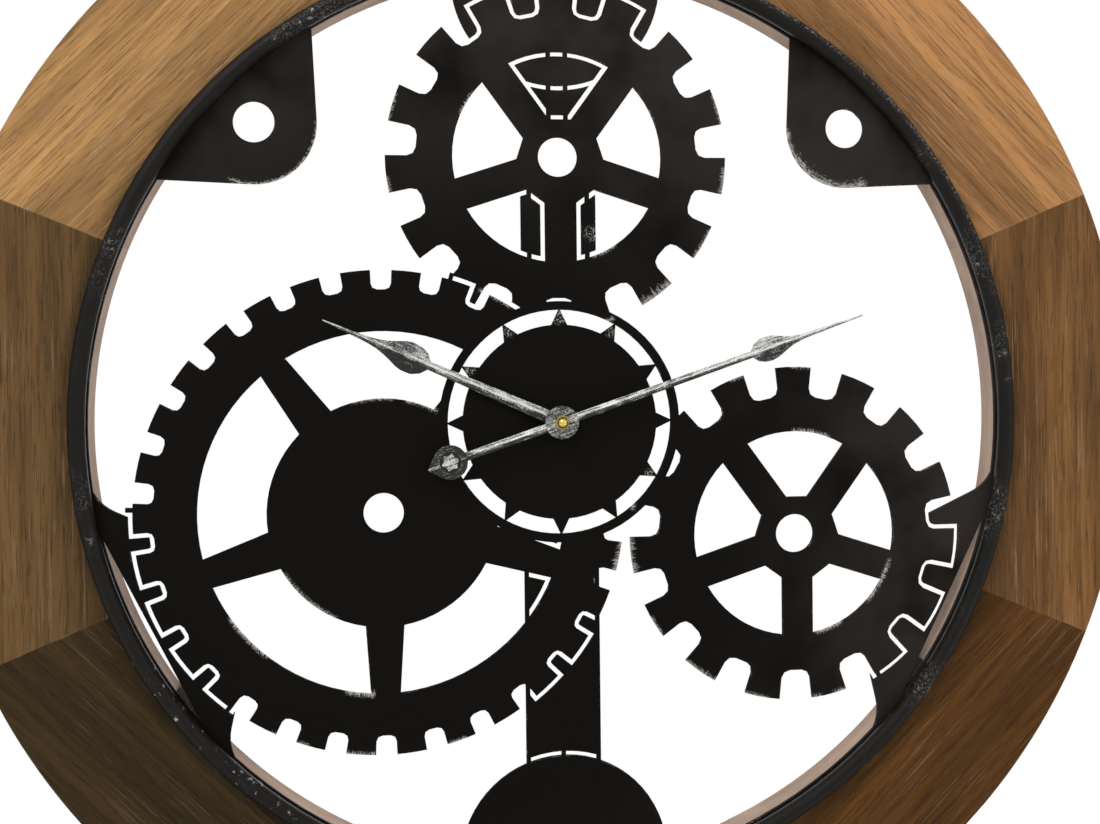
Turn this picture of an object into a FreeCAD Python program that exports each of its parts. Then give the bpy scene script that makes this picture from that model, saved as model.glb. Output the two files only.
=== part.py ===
import FreeCAD, Part
import math
import os
from types import SimpleNamespace

import Sketcher
from FreeCAD import Placement, Rotation, Vector

# Round wall clock with a laser-cut gear plate inside a ring of wooden boards.
# X is to the right, Z is up and the clock looks towards -Y. The origin is the middle of the hanging
# keyhole, on the back face of its strap. The wall is at +Y, one bumper height behind it.

SIZES = [
    ("hoop_radius", 217.4, "centre line of the round hoop"),
    ("hoop_bar", 8.0, "diameter of the hoop's bar"),
    ("rim_inset", 0.6, "plate's rim ends this far inside the bar's outer edge"),
    ("wood_width", 69.0, "radial width of the wooden ring"),
    ("wood_thickness", 15.0, "boards"),
    ("board_count", 8, "boards in the ring"),
    ("plate_thickness", 2.0, "laser-cut sheet"),
    ("slot_width", 2.1, "outline slots in the sheet"),
    ("bridge_width", 2.1, "uncut bridges across the slots"),
    ("dial_disc_radius", 45.6, "solid middle of the small dial"),
    ("dial_ring_radius", 52.5, "inner edge of the dial's ring"),
    ("dial_ring_width", 4.1, "width of the dial's ring"),
    ("spike_width", 7.4, "base of each hour spike"),
    ("spike_nib", 0.7, "width left where a spike meets the ring"),
    ("gear_hole_radius", 9.2, "round hole in each gear's middle"),
    ("pinion_tip_radius", 79.9, "two equal gears, top and right"),
    ("pinion_tooth_depth", 14.1, "height of their teeth"),
    ("pinion_gap_fillet", 4.2, "corner radius of their tooth gaps"),
    ("pinion_rim_width", 16.8, "between their tooth gaps and their windows"),
    ("pinion_hub_flat", 19.8, "flat inner edge of their windows, from the spokes' middle"),
    ("pinion_spoke_width", 14.9, "parallel spokes"),
    ("spoke_shift_x", 1.2, "middle of the spokes, right of the gear's middle"),
    ("spoke_shift_drop", 2.2, "middle of the spokes, below the gear's middle"),
    ("top_gear_gap", 9.7, "top gear's tips to the rim"),
    ("right_gear_gap", 8.2, "right gear's tips to the rim"),
    ("wheel_tip_radius", 112.1, "large gear on the left"),
    ("wheel_tooth_depth", 9.0, "height of its teeth"),
    ("wheel_gap_fillet", 2.8, "corner radius of its tooth gaps"),
    ("wheel_rim_width", 19.2, "between its tooth gaps and its windows"),
    ("wheel_hub_radius", 52.9, "its round hub"),
    ("wheel_spoke_hub_width", 17.6, "tapered spoke at the hub"),
    ("wheel_spoke_rim_width", 13.6, "tapered spoke at the rim"),
    ("wheel_gap", 9.4, "its tips to the rim"),
    ("column_width", 35.2, "upright behind the gears"),
    ("column_bridge_inset", 2.9, "upper bridges, in from the column's edge"),
    ("window_bridge_offset", 4.0, "bridges beside the middle of the top window"),
    ("medallion_radius", 48.9, "round ends of the column"),
    ("medallion_inset", 7.5, "their middles, inside the rim's inner edge"),
    ("lug_inset", 17.4, "hole of each corner lug, inside the rim's inner edge"),
    ("lug_radius", 28.2, "round end of a corner lug"),
    ("lug_hole_radius", 9.3, "hole in a corner lug"),
    ("gusset_depth", 30.4, "inner end of a gusset's edge, inside the rim's inner edge"),
    ("gusset_corner_rise", 1.0, "sharp corner of a gusset's edge, outside the rim's inner edge"),
    ("gusset_fillet", 20.7, "rounding of that corner"),
    ("strap_thickness", 2.0, "bent steel straps on the back"),
    ("strap_width", 24.0, "their width"),
    ("hanger_width", 44.0, "width of the hanging strap"),
    ("hanger_reach", 58.0, "length of the hanging strap on the boards"),
    ("strap_reach", 34.0, "length of a strap on the boards"),
    ("strap_foot", 7.2, "length of the foot on the plate"),
    ("strap_clearance", 0.2, "gap between a strap's riser and the boards"),
    ("screw_radius", 1.7, "shank of a wood screw"),
    ("screw_length", 8.0, "shank below the head"),
    ("screw_head_radius", 3.6, "pan head"),
    ("screw_head_height", 2.2, "pan head"),
    ("screw_setback", 20.0, "screw from the boards' inner edge"),
    ("screw_clearance", 0.05, "hole radius over the shank"),
    ("hanger_screw_side", 15.5, "hanging strap's screws, beside its middle"),
    ("hanger_screw_setback", 36.0, "those screws, from the boards' inner edge"),
    ("keyhole_setback", 36.6, "keyhole from the boards' inner edge"),
    ("keyhole_radius", 4.5, "entry of the keyhole"),
    ("keyhole_slot", 4.6, "width of the keyhole's slot"),
    ("keyhole_rise", 8.0, "end of the slot above the entry"),
    ("keyhole_recess", 6.0, "depth of the room for the wall screw's head"),
    ("keyhole_recess_radius", 7.5, "radius of that room"),
    ("bumper_radius", 9.0, "rubber bumpers"),
    ("bumper_height", 6.0, "rubber bumpers"),
    ("bumper_taper", 1.5, "wall end of a bumper is this much narrower"),
    ("bumper_setback", 36.6, "from the boards' inner edge"),
    ("minute_tip", 152.4, "minute hand"),
    ("minute_hub_radius", 7.8, "disc round its hole"),
    ("minute_shaft_width", 4.0, "at the hub"),
    ("minute_neck_width", 3.1, "where the spade starts"),
    ("minute_spade_start", 95.5, "spade of the minute hand"),
    ("minute_spade_peak", 103.0, "widest place"),
    ("minute_spade_width", 11.8, "across the spade"),
    ("minute_spade_end", 124.0, "where the point starts"),
    ("minute_point_width", 2.2, "there"),
    ("tail_disc_distance", 54.6, "counterweight disc from the hub"),
    ("tail_disc_radius", 8.0, "counterweight disc"),
    ("tail_point", 2.8, "pointed end of the tail, beyond its disc"),
    ("tail_recess_radius", 5.2, "sunk middle of the counterweight"),
    ("tail_recess_depth", 0.5, "its depth"),
    ("tail_boss_radius", 4.2, "raised star in it"),
    ("hour_tip", 119.0, "hour hand"),
    ("hour_hub_radius", 7.6, "disc round its hole"),
    ("hour_shaft_width", 6.2, "at the hub"),
    ("hour_neck_width", 3.9, "where the spade starts"),
    ("hour_spade_start", 66.5, "spade of the hour hand"),
    ("hour_spade_peak", 73.5, "widest place"),
    ("hour_spade_width", 14.0, "across the spade"),
    ("hour_spade_end", 100.0, "where the point starts"),
    ("hour_point_width", 2.4, "there"),
    ("hand_tip_width", 0.6, "blunt end of a hand"),
    ("hand_thickness", 1.3, "at the ridge of a hand"),
    ("hand_bevel", 0.7, "fall from the ridge to the widest edge"),
    ("hand_rib", 0.25, "rib above the spade"),
    ("hand_gap", 1.2, "between the hands"),
    ("nut_across_flats", 11.0, "hexagonal nut on the bush"),
    ("nut_height", 2.2, "hexagonal nut"),
    ("washer_radius", 7.0, "brass washer"),
    ("washer_thickness", 0.6, "brass washer"),
    ("gasket_radius", 14.0, "rubber washer behind the plate"),
    ("gasket_thickness", 0.8, "rubber washer"),
    ("bush_radius", 4.0, "threaded bush"),
    ("bush_spare", 0.8, "bush in front of the nut"),
    ("bush_clearance", 0.1, "plate's hole round the bush"),
    ("hour_pipe_radius", 2.5, "hour wheel's pipe"),
    ("arbor_radius", 1.4, "minute arbor"),
    ("running_clearance", 0.05, "radial, in every bearing"),
    ("pipe_spare", 0.8, "clear length between bush and hour hand"),
    ("cap_radius", 3.3, "domed cap nut"),
    ("cap_height", 4.8, "domed cap nut"),
    ("cap_skirt", 2.0, "straight part of the cap nut"),
    ("cap_thread_depth", 3.0, "arbor inside the cap nut"),
    ("case_depth", 16.5, "movement case"),
    ("case_wall", 1.5, "movement case"),
    ("case_corner", 4.0, "rounded upright corners"),
    ("train_room", 10.0, "movement's room below the dial's middle"),
    ("bearing_boss_radius", 2.0, "stator's pillars"),
    ("cell_play", 0.4, "round the cell in its bay"),
    ("cell_radius", 7.1, "AA cell"),
    ("cell_length", 49.2, "AA cell without its button"),
    ("cell_button_radius", 2.7, "button of the cell"),
    ("cell_button_length", 1.3, "button of the cell"),
    ("contact_thickness", 0.4, "battery contacts"),
    ("contact_width", 9.0, "battery contacts"),
    ("contact_gap", 0.35, "cell to the contacts"),
    ("contact_bump", 2.4, "radius of a contact's bump"),
    ("contact_spring", 0.5, "height of a contact's bump"),
    ("wheel_thickness", 0.8, "wheels of the movement"),
    ("layer_pitch", 1.6, "one wheel of the movement to the next"),
    ("inner_gap", 0.4, "front wheel to the case"),
    ("pivot_radius", 0.35, "arbors of the movement"),
    ("works_distance", 8.6, "minute-works wheel from the middle"),
    ("third_distance", 8.1, "third wheel from the middle"),
    ("step_distance", 8.1, "intermediate wheel from the middle"),
    ("rotor_distance", 7.35, "rotor from the intermediate wheel"),
    ("knob_arbor_radius", 0.7, "minute-works arbor"),
    ("knob_radius", 4.5, "setting knob"),
    ("knob_height", 2.0, "setting knob"),
    ("knob_gap", 0.3, "between cover and knob"),
    ("magnet_radius", 3.2, "rotor's magnet"),
    ("magnet_height", 2.4, "rotor's magnet"),
    ("air_gap", 0.5, "round the magnet"),
    ("stator_width", 34.0, "stator plate"),
    ("pillar_distance", 13.0, "stator's pillars, from the rotor"),
    ("core_width", 2.6, "coil's iron core"),
    ("core_thickness", 1.0, "coil's iron core"),
    ("stator_height", 11.0, "stator plate"),
    ("stator_thickness", 1.2, "stator plate"),
    ("coil_length", 16.0, "coil beside the stator"),
    ("coil_radius", 2.3, "coil"),
    ("coil_room", 0.45, "between the coil and the case"),
    ("board_width", 8.0, "circuit board"),
    ("board_height", 24.0, "circuit board"),
    ("board_thickness", 1.2, "circuit board"),
    ("overrun", 5.0, "cutting tools run past the stock"),
]

# Plain numbers: counts, angles in degrees and shares of the sizes above.
PINION_TEETH = 15
PINION_GAP_ANGLE = 11.6
PINION_FIRST_GAP_ANGLE = -90
WHEEL_TEETH = 30
WHEEL_GAP_ANGLE = 5.0
WHEEL_FIRST_GAP_ANGLE = 90
SPOKES = 5
TOP_GEAR_ANGLE = 90
RIGHT_GEAR_ANGLE = -26.2
LARGE_GEAR_ANGLE = 206.3
GUSSET_HALF_ANGLE = 17.5
GUSSET_ROOT_ANGLE = 10.7
LUG_ANGLE = 45.0
LUG_FLANK_ANGLE = 42.5
MINUTE_ANGLE = 71.3
HOUR_ANGLE = 293.9
# Angles round the large gear's middle, and round the right gear's, where a bridge crosses the slot.
WHEEL_BRIDGES = [73.5, -129.0, 178.0]
PINION_BRIDGES = [-59.3, 5.5]
STRAP_OFFSET = 11.0
HOOP_SIDES = 10
SPADE_POINTS = 10
HUB_SIDES = 20
CELL_SIDES = 24
BORE_SIDES = 16
ROD_SIDES = 8
DOME_SHARES = [(1.0, 0.0), (0.87, 0.5), (0.5, 0.87), (0.15, 1.0)]
BUMPER_ANGLES = [10, 170, -55, -125]
TRAIN = {
    "cannon_teeth": 8, "works_wheel_teeth": 24, "works_pinion_teeth": 6, "hour_wheel_teeth": 24,
    "centre_wheel_teeth": 48, "third_pinion_teeth": 6, "third_wheel_teeth": 45, "second_pinion_teeth": 6,
    "second_wheel_teeth": 30, "step_pinion_teeth": 6, "step_wheel_teeth": 36, "rotor_pinion_teeth": 6,
}
BOSS_POINTS = 6
BOSS_NOTCH_SHARE = 0.72
SPADE_TANGENT_SHARES = (0.5, 0, 1)
TOOTH_TIP_SHARE = 0.8
TOOTH_ROOT_SHARE = 1.3


class Length(float):
    """A number that remembers its formula over the sheet, so that features can be bound to it."""

    def __new__(cls, value, text):
        length = super().__new__(cls, value)
        length.text = text
        return length

    def __add__(self, other):
        return Length(float(self) + float(other), "(%s + %s)" % (self.text, formula(other)))

    def __radd__(self, other):
        return Length(float(other) + float(self), "(%s + %s)" % (formula(other), self.text))

    def __sub__(self, other):
        return Length(float(self) - float(other), "(%s - %s)" % (self.text, formula(other)))

    def __rsub__(self, other):
        return Length(float(other) - float(self), "(%s - %s)" % (formula(other), self.text))

    def __mul__(self, other):
        return Length(float(self) * float(other), "(%s * %s)" % (self.text, formula(other)))

    def __rmul__(self, other):
        return self * other

    def __truediv__(self, other):
        return Length(float(self) / float(other), "(%s / %s)" % (self.text, formula(other)))

    def __neg__(self):
        return Length(-float(self), "(0 - %s)" % self.text)


def formula(value):
    return getattr(value, "text", repr(float(value)))


doc = FreeCAD.newDocument("gear_wall_clock")
sheet = doc.addObject("Spreadsheet::Sheet", "sizes")
for row, (alias, value, meaning) in enumerate(SIZES, start=1):
    sheet.set("A%d" % row, alias)
    sheet.set("B%d" % row, str(value))
    sheet.set("C%d" % row, meaning)
    sheet.setAlias("B%d" % row, alias)
doc.recompute()
s = SimpleNamespace(**{alias: Length(float(sheet.get(alias)), "sizes." + alias) for alias, _, _ in SIZES})

# Places that follow from the sizes. Depths are along Y, heights and sides from the dial's middle.
wood_inner = s.hoop_radius - s.hoop_bar / 2
wood_outer = wood_inner + s.wood_width
rim_outer = s.hoop_radius + s.hoop_bar / 2 - s.rim_inset
wood_back = -s.strap_thickness
plate_back = wood_back - s.wood_thickness
plate_front = plate_back - s.plate_thickness
case_front = plate_back + s.gasket_thickness
case_back = case_front + s.case_depth
case_floor = case_front + s.case_wall
cover_front = case_back - s.case_wall
bush_front = plate_front - s.washer_thickness - s.nut_height - s.bush_spare
hour_back = bush_front - s.pipe_spare
minute_back = hour_back - s.hand_thickness - s.hand_gap
minute_front = minute_back - s.hand_thickness
top_gear_height = wood_inner - s.top_gear_gap - s.pinion_tip_radius
right_gear_distance = wood_inner - s.right_gear_gap - s.pinion_tip_radius
wheel_distance = wood_inner - s.wheel_gap - s.wheel_tip_radius
pinion_root = s.pinion_tip_radius - s.pinion_tooth_depth
pinion_window = pinion_root - s.pinion_rim_width
wheel_root = s.wheel_tip_radius - s.wheel_tooth_depth
wheel_window = wheel_root - s.wheel_rim_width
medallion_distance = wood_inner - s.medallion_inset
lug_distance = wood_inner - s.lug_inset
hang_drop = wood_inner + s.keyhole_setback
half_cell = (s.cell_length + s.cell_button_length) / 2
contact_face = half_cell + s.contact_gap + s.contact_spring
room_side = contact_face + s.contact_thickness
bay_top = -s.train_room - s.case_wall
room_bottom = bay_top - 2 * (s.cell_radius + s.cell_play)
core_level = s.step_distance + s.rotor_distance + s.stator_height / 2 + s.air_gap + s.coil_radius
room_top = core_level + s.coil_radius + s.coil_room
cell_depth = case_floor + s.cell_play + s.cell_radius
cell_level = room_bottom + s.cell_play + s.cell_radius
magnet_back = cover_front - s.inner_gap - s.inner_gap
stator_back = magnet_back - (s.magnet_height - s.stator_thickness) / 2
layers = [case_floor + s.inner_gap + s.layer_pitch * count for count in range(6)]
made = []


def keep(item, label):
    """Names a finished sub-part; its label is its file name."""
    item.Label = label
    made.append(item)
    return item


def bind(item, **fields):
    """Binds an object's sizes to formulas over the sheet."""
    for field, value in fields.items():
        item.setExpression(field, formula(value))
    return item


def place(item, side=0, depth=0, level=0, turn=None):
    """Sets an object beside and above the dial's middle, at a depth, and turns it."""
    if turn is not None:
        item.Placement = Placement(Vector(), turn)
    item.setExpression("Placement.Base.x", formula(side))
    item.setExpression("Placement.Base.y", formula(depth))
    item.setExpression("Placement.Base.z", formula(level - hang_drop))
    return item


TO_FRONT = Rotation(Vector(1, 0, 0), 90)


def clockwise(degrees):
    """A turn about the clock's axis, as seen from the front."""
    return Rotation(Vector(0, 1, 0), degrees)


def feature(label, shape):
    """A sub-part from a shape drawn round the dial's middle."""
    item = doc.addObject("Part::Feature", label)
    item.Shape = shape
    return keep(place(item), label)


def prism(name, sides, radius, height, side, depth, level):
    """A small many-sided bar, where a true cylinder would only add faces."""
    item = bind(doc.addObject("Part::Prism", name), Circumradius=radius, Height=height)
    item.Polygon = sides
    return place(item, side, depth, level, TO_FRONT)


def ring_bar(label, sides, outer, inner, height, depth, side=0):
    """A washer or bush from its two radii and its length towards the front; its bore clears them."""
    cut = doc.addObject("Part::Cut", label)
    cut.Base = prism(label + "_outside", sides, outer, height, side, depth, 0)
    bore = inner / math.cos(math.pi / BORE_SIDES)
    cut.Tool = prism(label + "_bore", BORE_SIDES, bore, height, side, depth, 0)
    return keep(cut, label)


def round_loop(side, level, radius, sides=8):
    """Corners of a small round outline with a few sides that lie outside the circle."""
    far = radius / math.cos(math.pi / sides)
    turns = [2 * math.pi * (number + 0.5) / sides for number in range(sides)]
    return [(side + far * math.cos(turn), level + far * math.sin(turn)) for turn in turns]


def add_loop(sketch, corners):
    """A closed polygon whose every corner is bound to the sheet."""
    first = sketch.GeometryCount
    count = len(corners)
    for index, here in enumerate(corners):
        there = corners[(index + 1) % count]
        line = Part.LineSegment(Vector(here[0], here[1], 0), Vector(there[0], there[1], 0))
        sketch.addGeometry(line, False)
    for index in range(count):
        sketch.addConstraint(Sketcher.Constraint("Coincident", first + index, 2,
                                                 first + (index + 1) % count, 1))
    for index, corner in enumerate(corners):
        for kind, value, axis in (("DistanceX", corner[0], -2), ("DistanceY", corner[1], -1)):
            if float(value) == 0:
                sketch.addConstraint(Sketcher.Constraint("PointOnObject", first + index, 1, axis))
                continue
            rule = Sketcher.Constraint(kind, -1, 1, first + index, 1, float(value))
            number = sketch.addConstraint(rule)
            sketch.setExpression("Constraints[%d]" % number, formula(value))


def add_circle(sketch, side, level, radius):
    """A circle whose middle and radius are bound to the sheet."""
    circle = sketch.addGeometry(Part.Circle(Vector(side, level, 0), Vector(0, 0, 1), float(radius)), False)
    number = sketch.addConstraint(Sketcher.Constraint("Radius", circle, float(radius)))
    sketch.setExpression("Constraints[%d]" % number, formula(radius))
    for kind, value, axis in (("DistanceX", side, -2), ("DistanceY", level, -1)):
        if float(value) == 0:
            sketch.addConstraint(Sketcher.Constraint("PointOnObject", circle, 3, axis))
            continue
        rule = Sketcher.Constraint(kind, -1, 1, circle, 3, float(value))
        number = sketch.addConstraint(rule)
        sketch.setExpression("Constraints[%d]" % number, formula(value))


def new_sketch(body, plane, loops=(), circles=(), depth=0):
    """A sketch on a body's upright plane, set back to a depth, or on its radius and depth plane."""
    sketch = doc.addObject("Sketcher::SketchObject", body.Name + "_sketch")
    body.addObject(sketch)
    support = [item for item in body.Origin.OriginFeatures if item.Name.startswith(plane)][0]
    sketch.AttachmentSupport = [(support, "")]
    sketch.MapMode = "FlatFace"
    if float(depth):
        sketch.setExpression("AttachmentOffset.Base.z", formula(0 - depth))
    for corners in loops:
        add_loop(sketch, corners)
    for circle in circles:
        add_circle(sketch, *circle)
    return sketch


def new_body(label, turn=None, side=0, level=0, depth=0):
    body = doc.addObject("PartDesign::Body", label)
    return keep(place(body, side, depth, level, turn), label)


def pad(body, length, loops=(), circles=(), depth=0, plane="XZ_Plane", midplane=False):
    """A sketch raised towards the front from a depth."""
    grown = doc.addObject("PartDesign::Pad", body.Name + "_pad")
    body.addObject(grown)
    grown.Profile = new_sketch(body, plane, loops, circles, depth)
    grown.Midplane = midplane
    return bind(grown, Length=length)


def pocket(body, length, loops=(), circles=(), depth=0, plane="XZ_Plane"):
    """A sketch cut towards the back from a depth."""
    cut = doc.addObject("PartDesign::Pocket", body.Name + "_pocket")
    body.addObject(cut)
    cut.Profile = new_sketch(body, plane, loops, circles, depth)
    return bind(cut, Length=length)


def turned_body(label, profile, side=0, level=0, depth=0, angle=360, turn=None):
    """A body of revolution about the clock's axis, from corners of radius and depth."""
    body = new_body(label, turn, side, level, depth)
    spun = doc.addObject("PartDesign::Revolution", label + "_revolution")
    body.addObject(spun)
    sketch = new_sketch(body, "XY_Plane", [profile])
    spun.Profile = sketch
    spun.ReferenceAxis = (sketch, ["V_Axis"])
    spun.Angle = angle
    spun.Midplane = angle < 360
    return body


def round_uprights(body, base, radius):
    """Rounds a block's edges that run from its front to its back."""
    doc.recompute()
    names = ["Edge%d" % number for number, edge in enumerate(base.Shape.Edges, start=1)
             if edge.BoundBox.XLength + edge.BoundBox.ZLength < edge.BoundBox.YLength]
    smooth = doc.addObject("PartDesign::Fillet", body.Name + "_fillet")
    body.addObject(smooth)
    smooth.Base = (base, names)
    return bind(smooth, Radius=radius)


def box_corners(left, right, low, high):
    return [(left, low), (right, low), (right, high), (left, high)]


def turned(point, degrees):
    angle = math.radians(degrees)
    x, z = point
    return (x * math.cos(angle) - z * math.sin(angle), x * math.sin(angle) + z * math.cos(angle))


def polar(radius, degrees):
    return turned((radius, 0), degrees)


def moved(point, middle):
    return (point[0] + middle[0], point[1] + middle[1])


def at(point, depth=0):
    return Vector(point[0], depth, point[1])


def rounded(corners, flats=False):
    """Closed outline through corners (x, z) or (x, z, radius); a radius rounds that corner, with an
    arc or, where it repeats often, with two flats on that arc."""
    stops = []
    count = len(corners)
    for index, corner in enumerate(corners):
        here = at(corner[:2])
        if len(corner) < 3:
            stops.append((here, None, here))
            continue
        before = (at(corners[index - 1][:2]) - here).normalize()
        after = (at(corners[(index + 1) % count][:2]) - here).normalize()
        half = before.getAngle(after) / 2
        middle = here + (before + after).normalize() * (corner[2] / math.sin(half))
        inner = middle + (here - middle).normalize() * corner[2]
        reach = corner[2] / math.tan(half)
        stops.append((here + before * reach, inner, here + after * reach))
    edges = []
    for index, (start, inner, end) in enumerate(stops):
        if inner is not None and flats:
            edges += [Part.LineSegment(start, inner).toShape(), Part.LineSegment(inner, end).toShape()]
        elif inner is not None:
            edges.append(Part.Arc(start, inner, end).toShape())
        edges.append(Part.LineSegment(end, stops[(index + 1) % count][0]).toShape())
    return Part.Face(Part.Wire(edges))


def disc(radius, middle=(0, 0)):
    return Part.Face(Part.Wire(Part.makeCircle(radius, at(middle), Vector(0, 1, 0))))


def ring(outer, inner, middle=(0, 0)):
    return disc(outer, middle).cut(disc(inner, middle))


def strip(start, end, width):
    """A straight strip from one point to another."""
    along = (at(end) - at(start)).normalize()
    side = Vector(-along.z, 0, along.x) * (width / 2)
    corners = [at(start) + side, at(end) + side, at(end) - side, at(start) - side]
    return Part.Face(Part.makePolygon(corners + corners[:1]))


def spin(face, degrees, middle=(0, 0)):
    """Turns a flat face anticlockwise, seen from the front."""
    face = face.copy()
    face.rotate(at(middle), Vector(0, 1, 0), -degrees)
    return face


def raise_from(face, depth, thickness):
    """A sheet of a thickness whose back lies at a depth."""
    face = face.copy()
    face.translate(Vector(0, depth, 0))
    solid = face.extrude(Vector(0, -thickness, 0))
    if solid.Volume < 0:
        solid.reverse()
    return solid


def tooth_gap(root, tip, half_angle, fillet, grow):
    """The gap between two teeth, on the +X side; grow narrows it, as the metal round it grows."""
    floor = root + grow
    slope = math.radians(half_angle)
    side = floor * math.tan(slope) - grow / math.cos(slope)
    far = tip + s.overrun
    far_side = far * math.tan(slope) - grow / math.cos(slope)
    radius = fillet - grow
    corners = [(floor, side, radius), (floor, -side, radius), (far, -far_side), (far, far_side)]
    return rounded(corners, flats=True)


def toothed_disc(gear, grow):
    gap = tooth_gap(gear.root, gear.tip, gear.gap_angle / 2, gear.fillet, grow)
    gap.translate(at(gear.middle))
    pitch = 360 / gear.teeth
    gaps = [spin(gap, gear.first_gap + pitch * index, gear.middle) for index in range(gear.teeth)]
    return disc(gear.tip + grow, gear.middle).cut(gaps)


def straight_windows(gear, grow):
    """Windows between parallel spokes, with a flat inner edge; the spokes have their own middle."""
    half = 180 / SPOKES
    lean = math.radians(half)
    flat = s.pinion_hub_flat + grow
    offset = s.pinion_spoke_width / 2 + grow
    far = gear.tip
    side = flat * math.tan(lean) - offset / math.cos(lean)
    far_side = far * math.tan(lean) - offset / math.cos(lean)
    middle = (gear.middle[0] + s.spoke_shift_x, gear.middle[1] - s.spoke_shift_drop)
    blank = rounded([(flat, side), (flat, -side), (far, -far_side), (far, far_side)])
    blank.translate(at(middle))
    rim = disc(pinion_window - grow, gear.middle)
    return [spin(blank, 90 + 2 * half * index, middle).common(rim) for index in range(SPOKES)]


def tapered_windows(gear, grow):
    """Windows between tapered spokes, from the round hub to the rim."""
    half = 180 / SPOKES
    slope = (s.wheel_spoke_hub_width - s.wheel_spoke_rim_width) / 2
    slope /= wheel_window - s.wheel_hub_radius
    start = (0, -s.wheel_spoke_hub_width / 2 - slope * s.wheel_hub_radius - grow)
    end = (gear.tip, -s.wheel_spoke_hub_width / 2 + slope * (gear.tip - s.wheel_hub_radius) - grow)
    corners = [turned(start, half), turned(end, half)]
    corners += [(x, -z) for x, z in reversed(corners)]
    corner = [(abs(corners[0][1]) / math.tan(math.radians(half)), 0)]
    blank = rounded([moved(point, gear.middle) for point in window_corners(corners, corner)])
    rim = ring(wheel_window - grow, s.wheel_hub_radius + grow, gear.middle)
    return [spin(blank, 90 + 2 * half * index, gear.middle).common(rim) for index in range(SPOKES)]


def window_corners(corners, fallback):
    """Edges of two neighbouring spokes cut each other inside the hub: they start where they meet."""
    (ax, az), (bx, bz) = corners[0], corners[1]
    share = az / (az - bz)
    meet = (ax + (bx - ax) * share, 0)
    return [meet, corners[1], corners[2]] if 0 < share < 1 else [fallback[0], corners[1], corners[2]]


def gear_face(gear, grow=0):
    """A gear with its windows and no middle hole; grow moves every edge outwards by that much."""
    return toothed_disc(gear, grow).cut(gear.windows(gear, grow))


def small_gear(middle):
    return SimpleNamespace(middle=middle, teeth=PINION_TEETH, tip=s.pinion_tip_radius,
                           root=pinion_root, gap_angle=PINION_GAP_ANGLE,
                           fillet=s.pinion_gap_fillet, first_gap=PINION_FIRST_GAP_ANGLE,
                           windows=straight_windows)


def large_gear(middle):
    return SimpleNamespace(middle=middle, teeth=WHEEL_TEETH, tip=s.wheel_tip_radius,
                           root=wheel_root, gap_angle=WHEEL_GAP_ANGLE,
                           fillet=s.wheel_gap_fillet, first_gap=WHEEL_FIRST_GAP_ANGLE,
                           windows=tapered_windows)


def bar_across(gear, degrees):
    """A bridge over the slot that runs round a gear's tips."""
    start = moved(polar(gear.tip - s.bridge_width, degrees), gear.middle)
    end = moved(polar(gear.tip + s.slot_width + s.bridge_width / 2, degrees), gear.middle)
    return strip(start, end, s.bridge_width)


def gusset(gear):
    """The web that joins a gear to the rim, alike on both sides of the line to the gear's middle."""
    outside = rim_outer + s.overrun
    root = polar(wood_inner - s.gusset_depth, GUSSET_ROOT_ANGLE)
    corner = polar(wood_inner + s.gusset_corner_rise, GUSSET_HALF_ANGLE)
    along = polar(s.gusset_fillet, GUSSET_HALF_ANGLE + 90)
    end = (corner[0] + along[0], corner[1] + along[1])
    beyond = polar(outside, math.degrees(math.atan2(end[1], end[0])))
    half = [root, corner + (s.gusset_fillet,), end, beyond]
    other = [(point[0], -point[1]) + tuple(point[2:]) for point in reversed(half)]
    face = rounded(half + other)
    return spin(face, math.degrees(math.atan2(gear.middle[1], gear.middle[0])))


def corner_lug(angle):
    """A round-ended lug on the rim whose flanks spread to nearly a right angle."""
    touch = moved(polar(s.lug_radius, LUG_FLANK_ANGLE + 90), (lug_distance, 0))
    far = moved(polar(s.hoop_radius, LUG_FLANK_ANGLE), touch)
    wedge = rounded([touch, far, (far[0], -far[1]), (touch[0], -touch[1])])
    return spin(wedge.fuse(disc(s.lug_radius, (lug_distance, 0))), angle)


def dial_face():
    """The dial: a disc with twelve spikes that reach to a thin ring."""
    base = math.sqrt(s.dial_disc_radius ** 2 - (s.spike_width / 2) ** 2)
    tip = s.dial_ring_radius + s.dial_ring_width / 2
    half = s.spike_width / 2
    nib = s.spike_nib / 2
    spike = rounded([(base, -half), (s.dial_ring_radius, -nib), (tip, -nib), (tip, nib),
                     (s.dial_ring_radius, nib), (base, half)])
    spikes = [spin(spike, 30 * hour) for hour in range(12)]
    outer_ring = ring(s.dial_ring_radius + s.dial_ring_width, s.dial_ring_radius)
    return disc(s.dial_disc_radius).fuse(spikes + [outer_ring])


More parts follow.
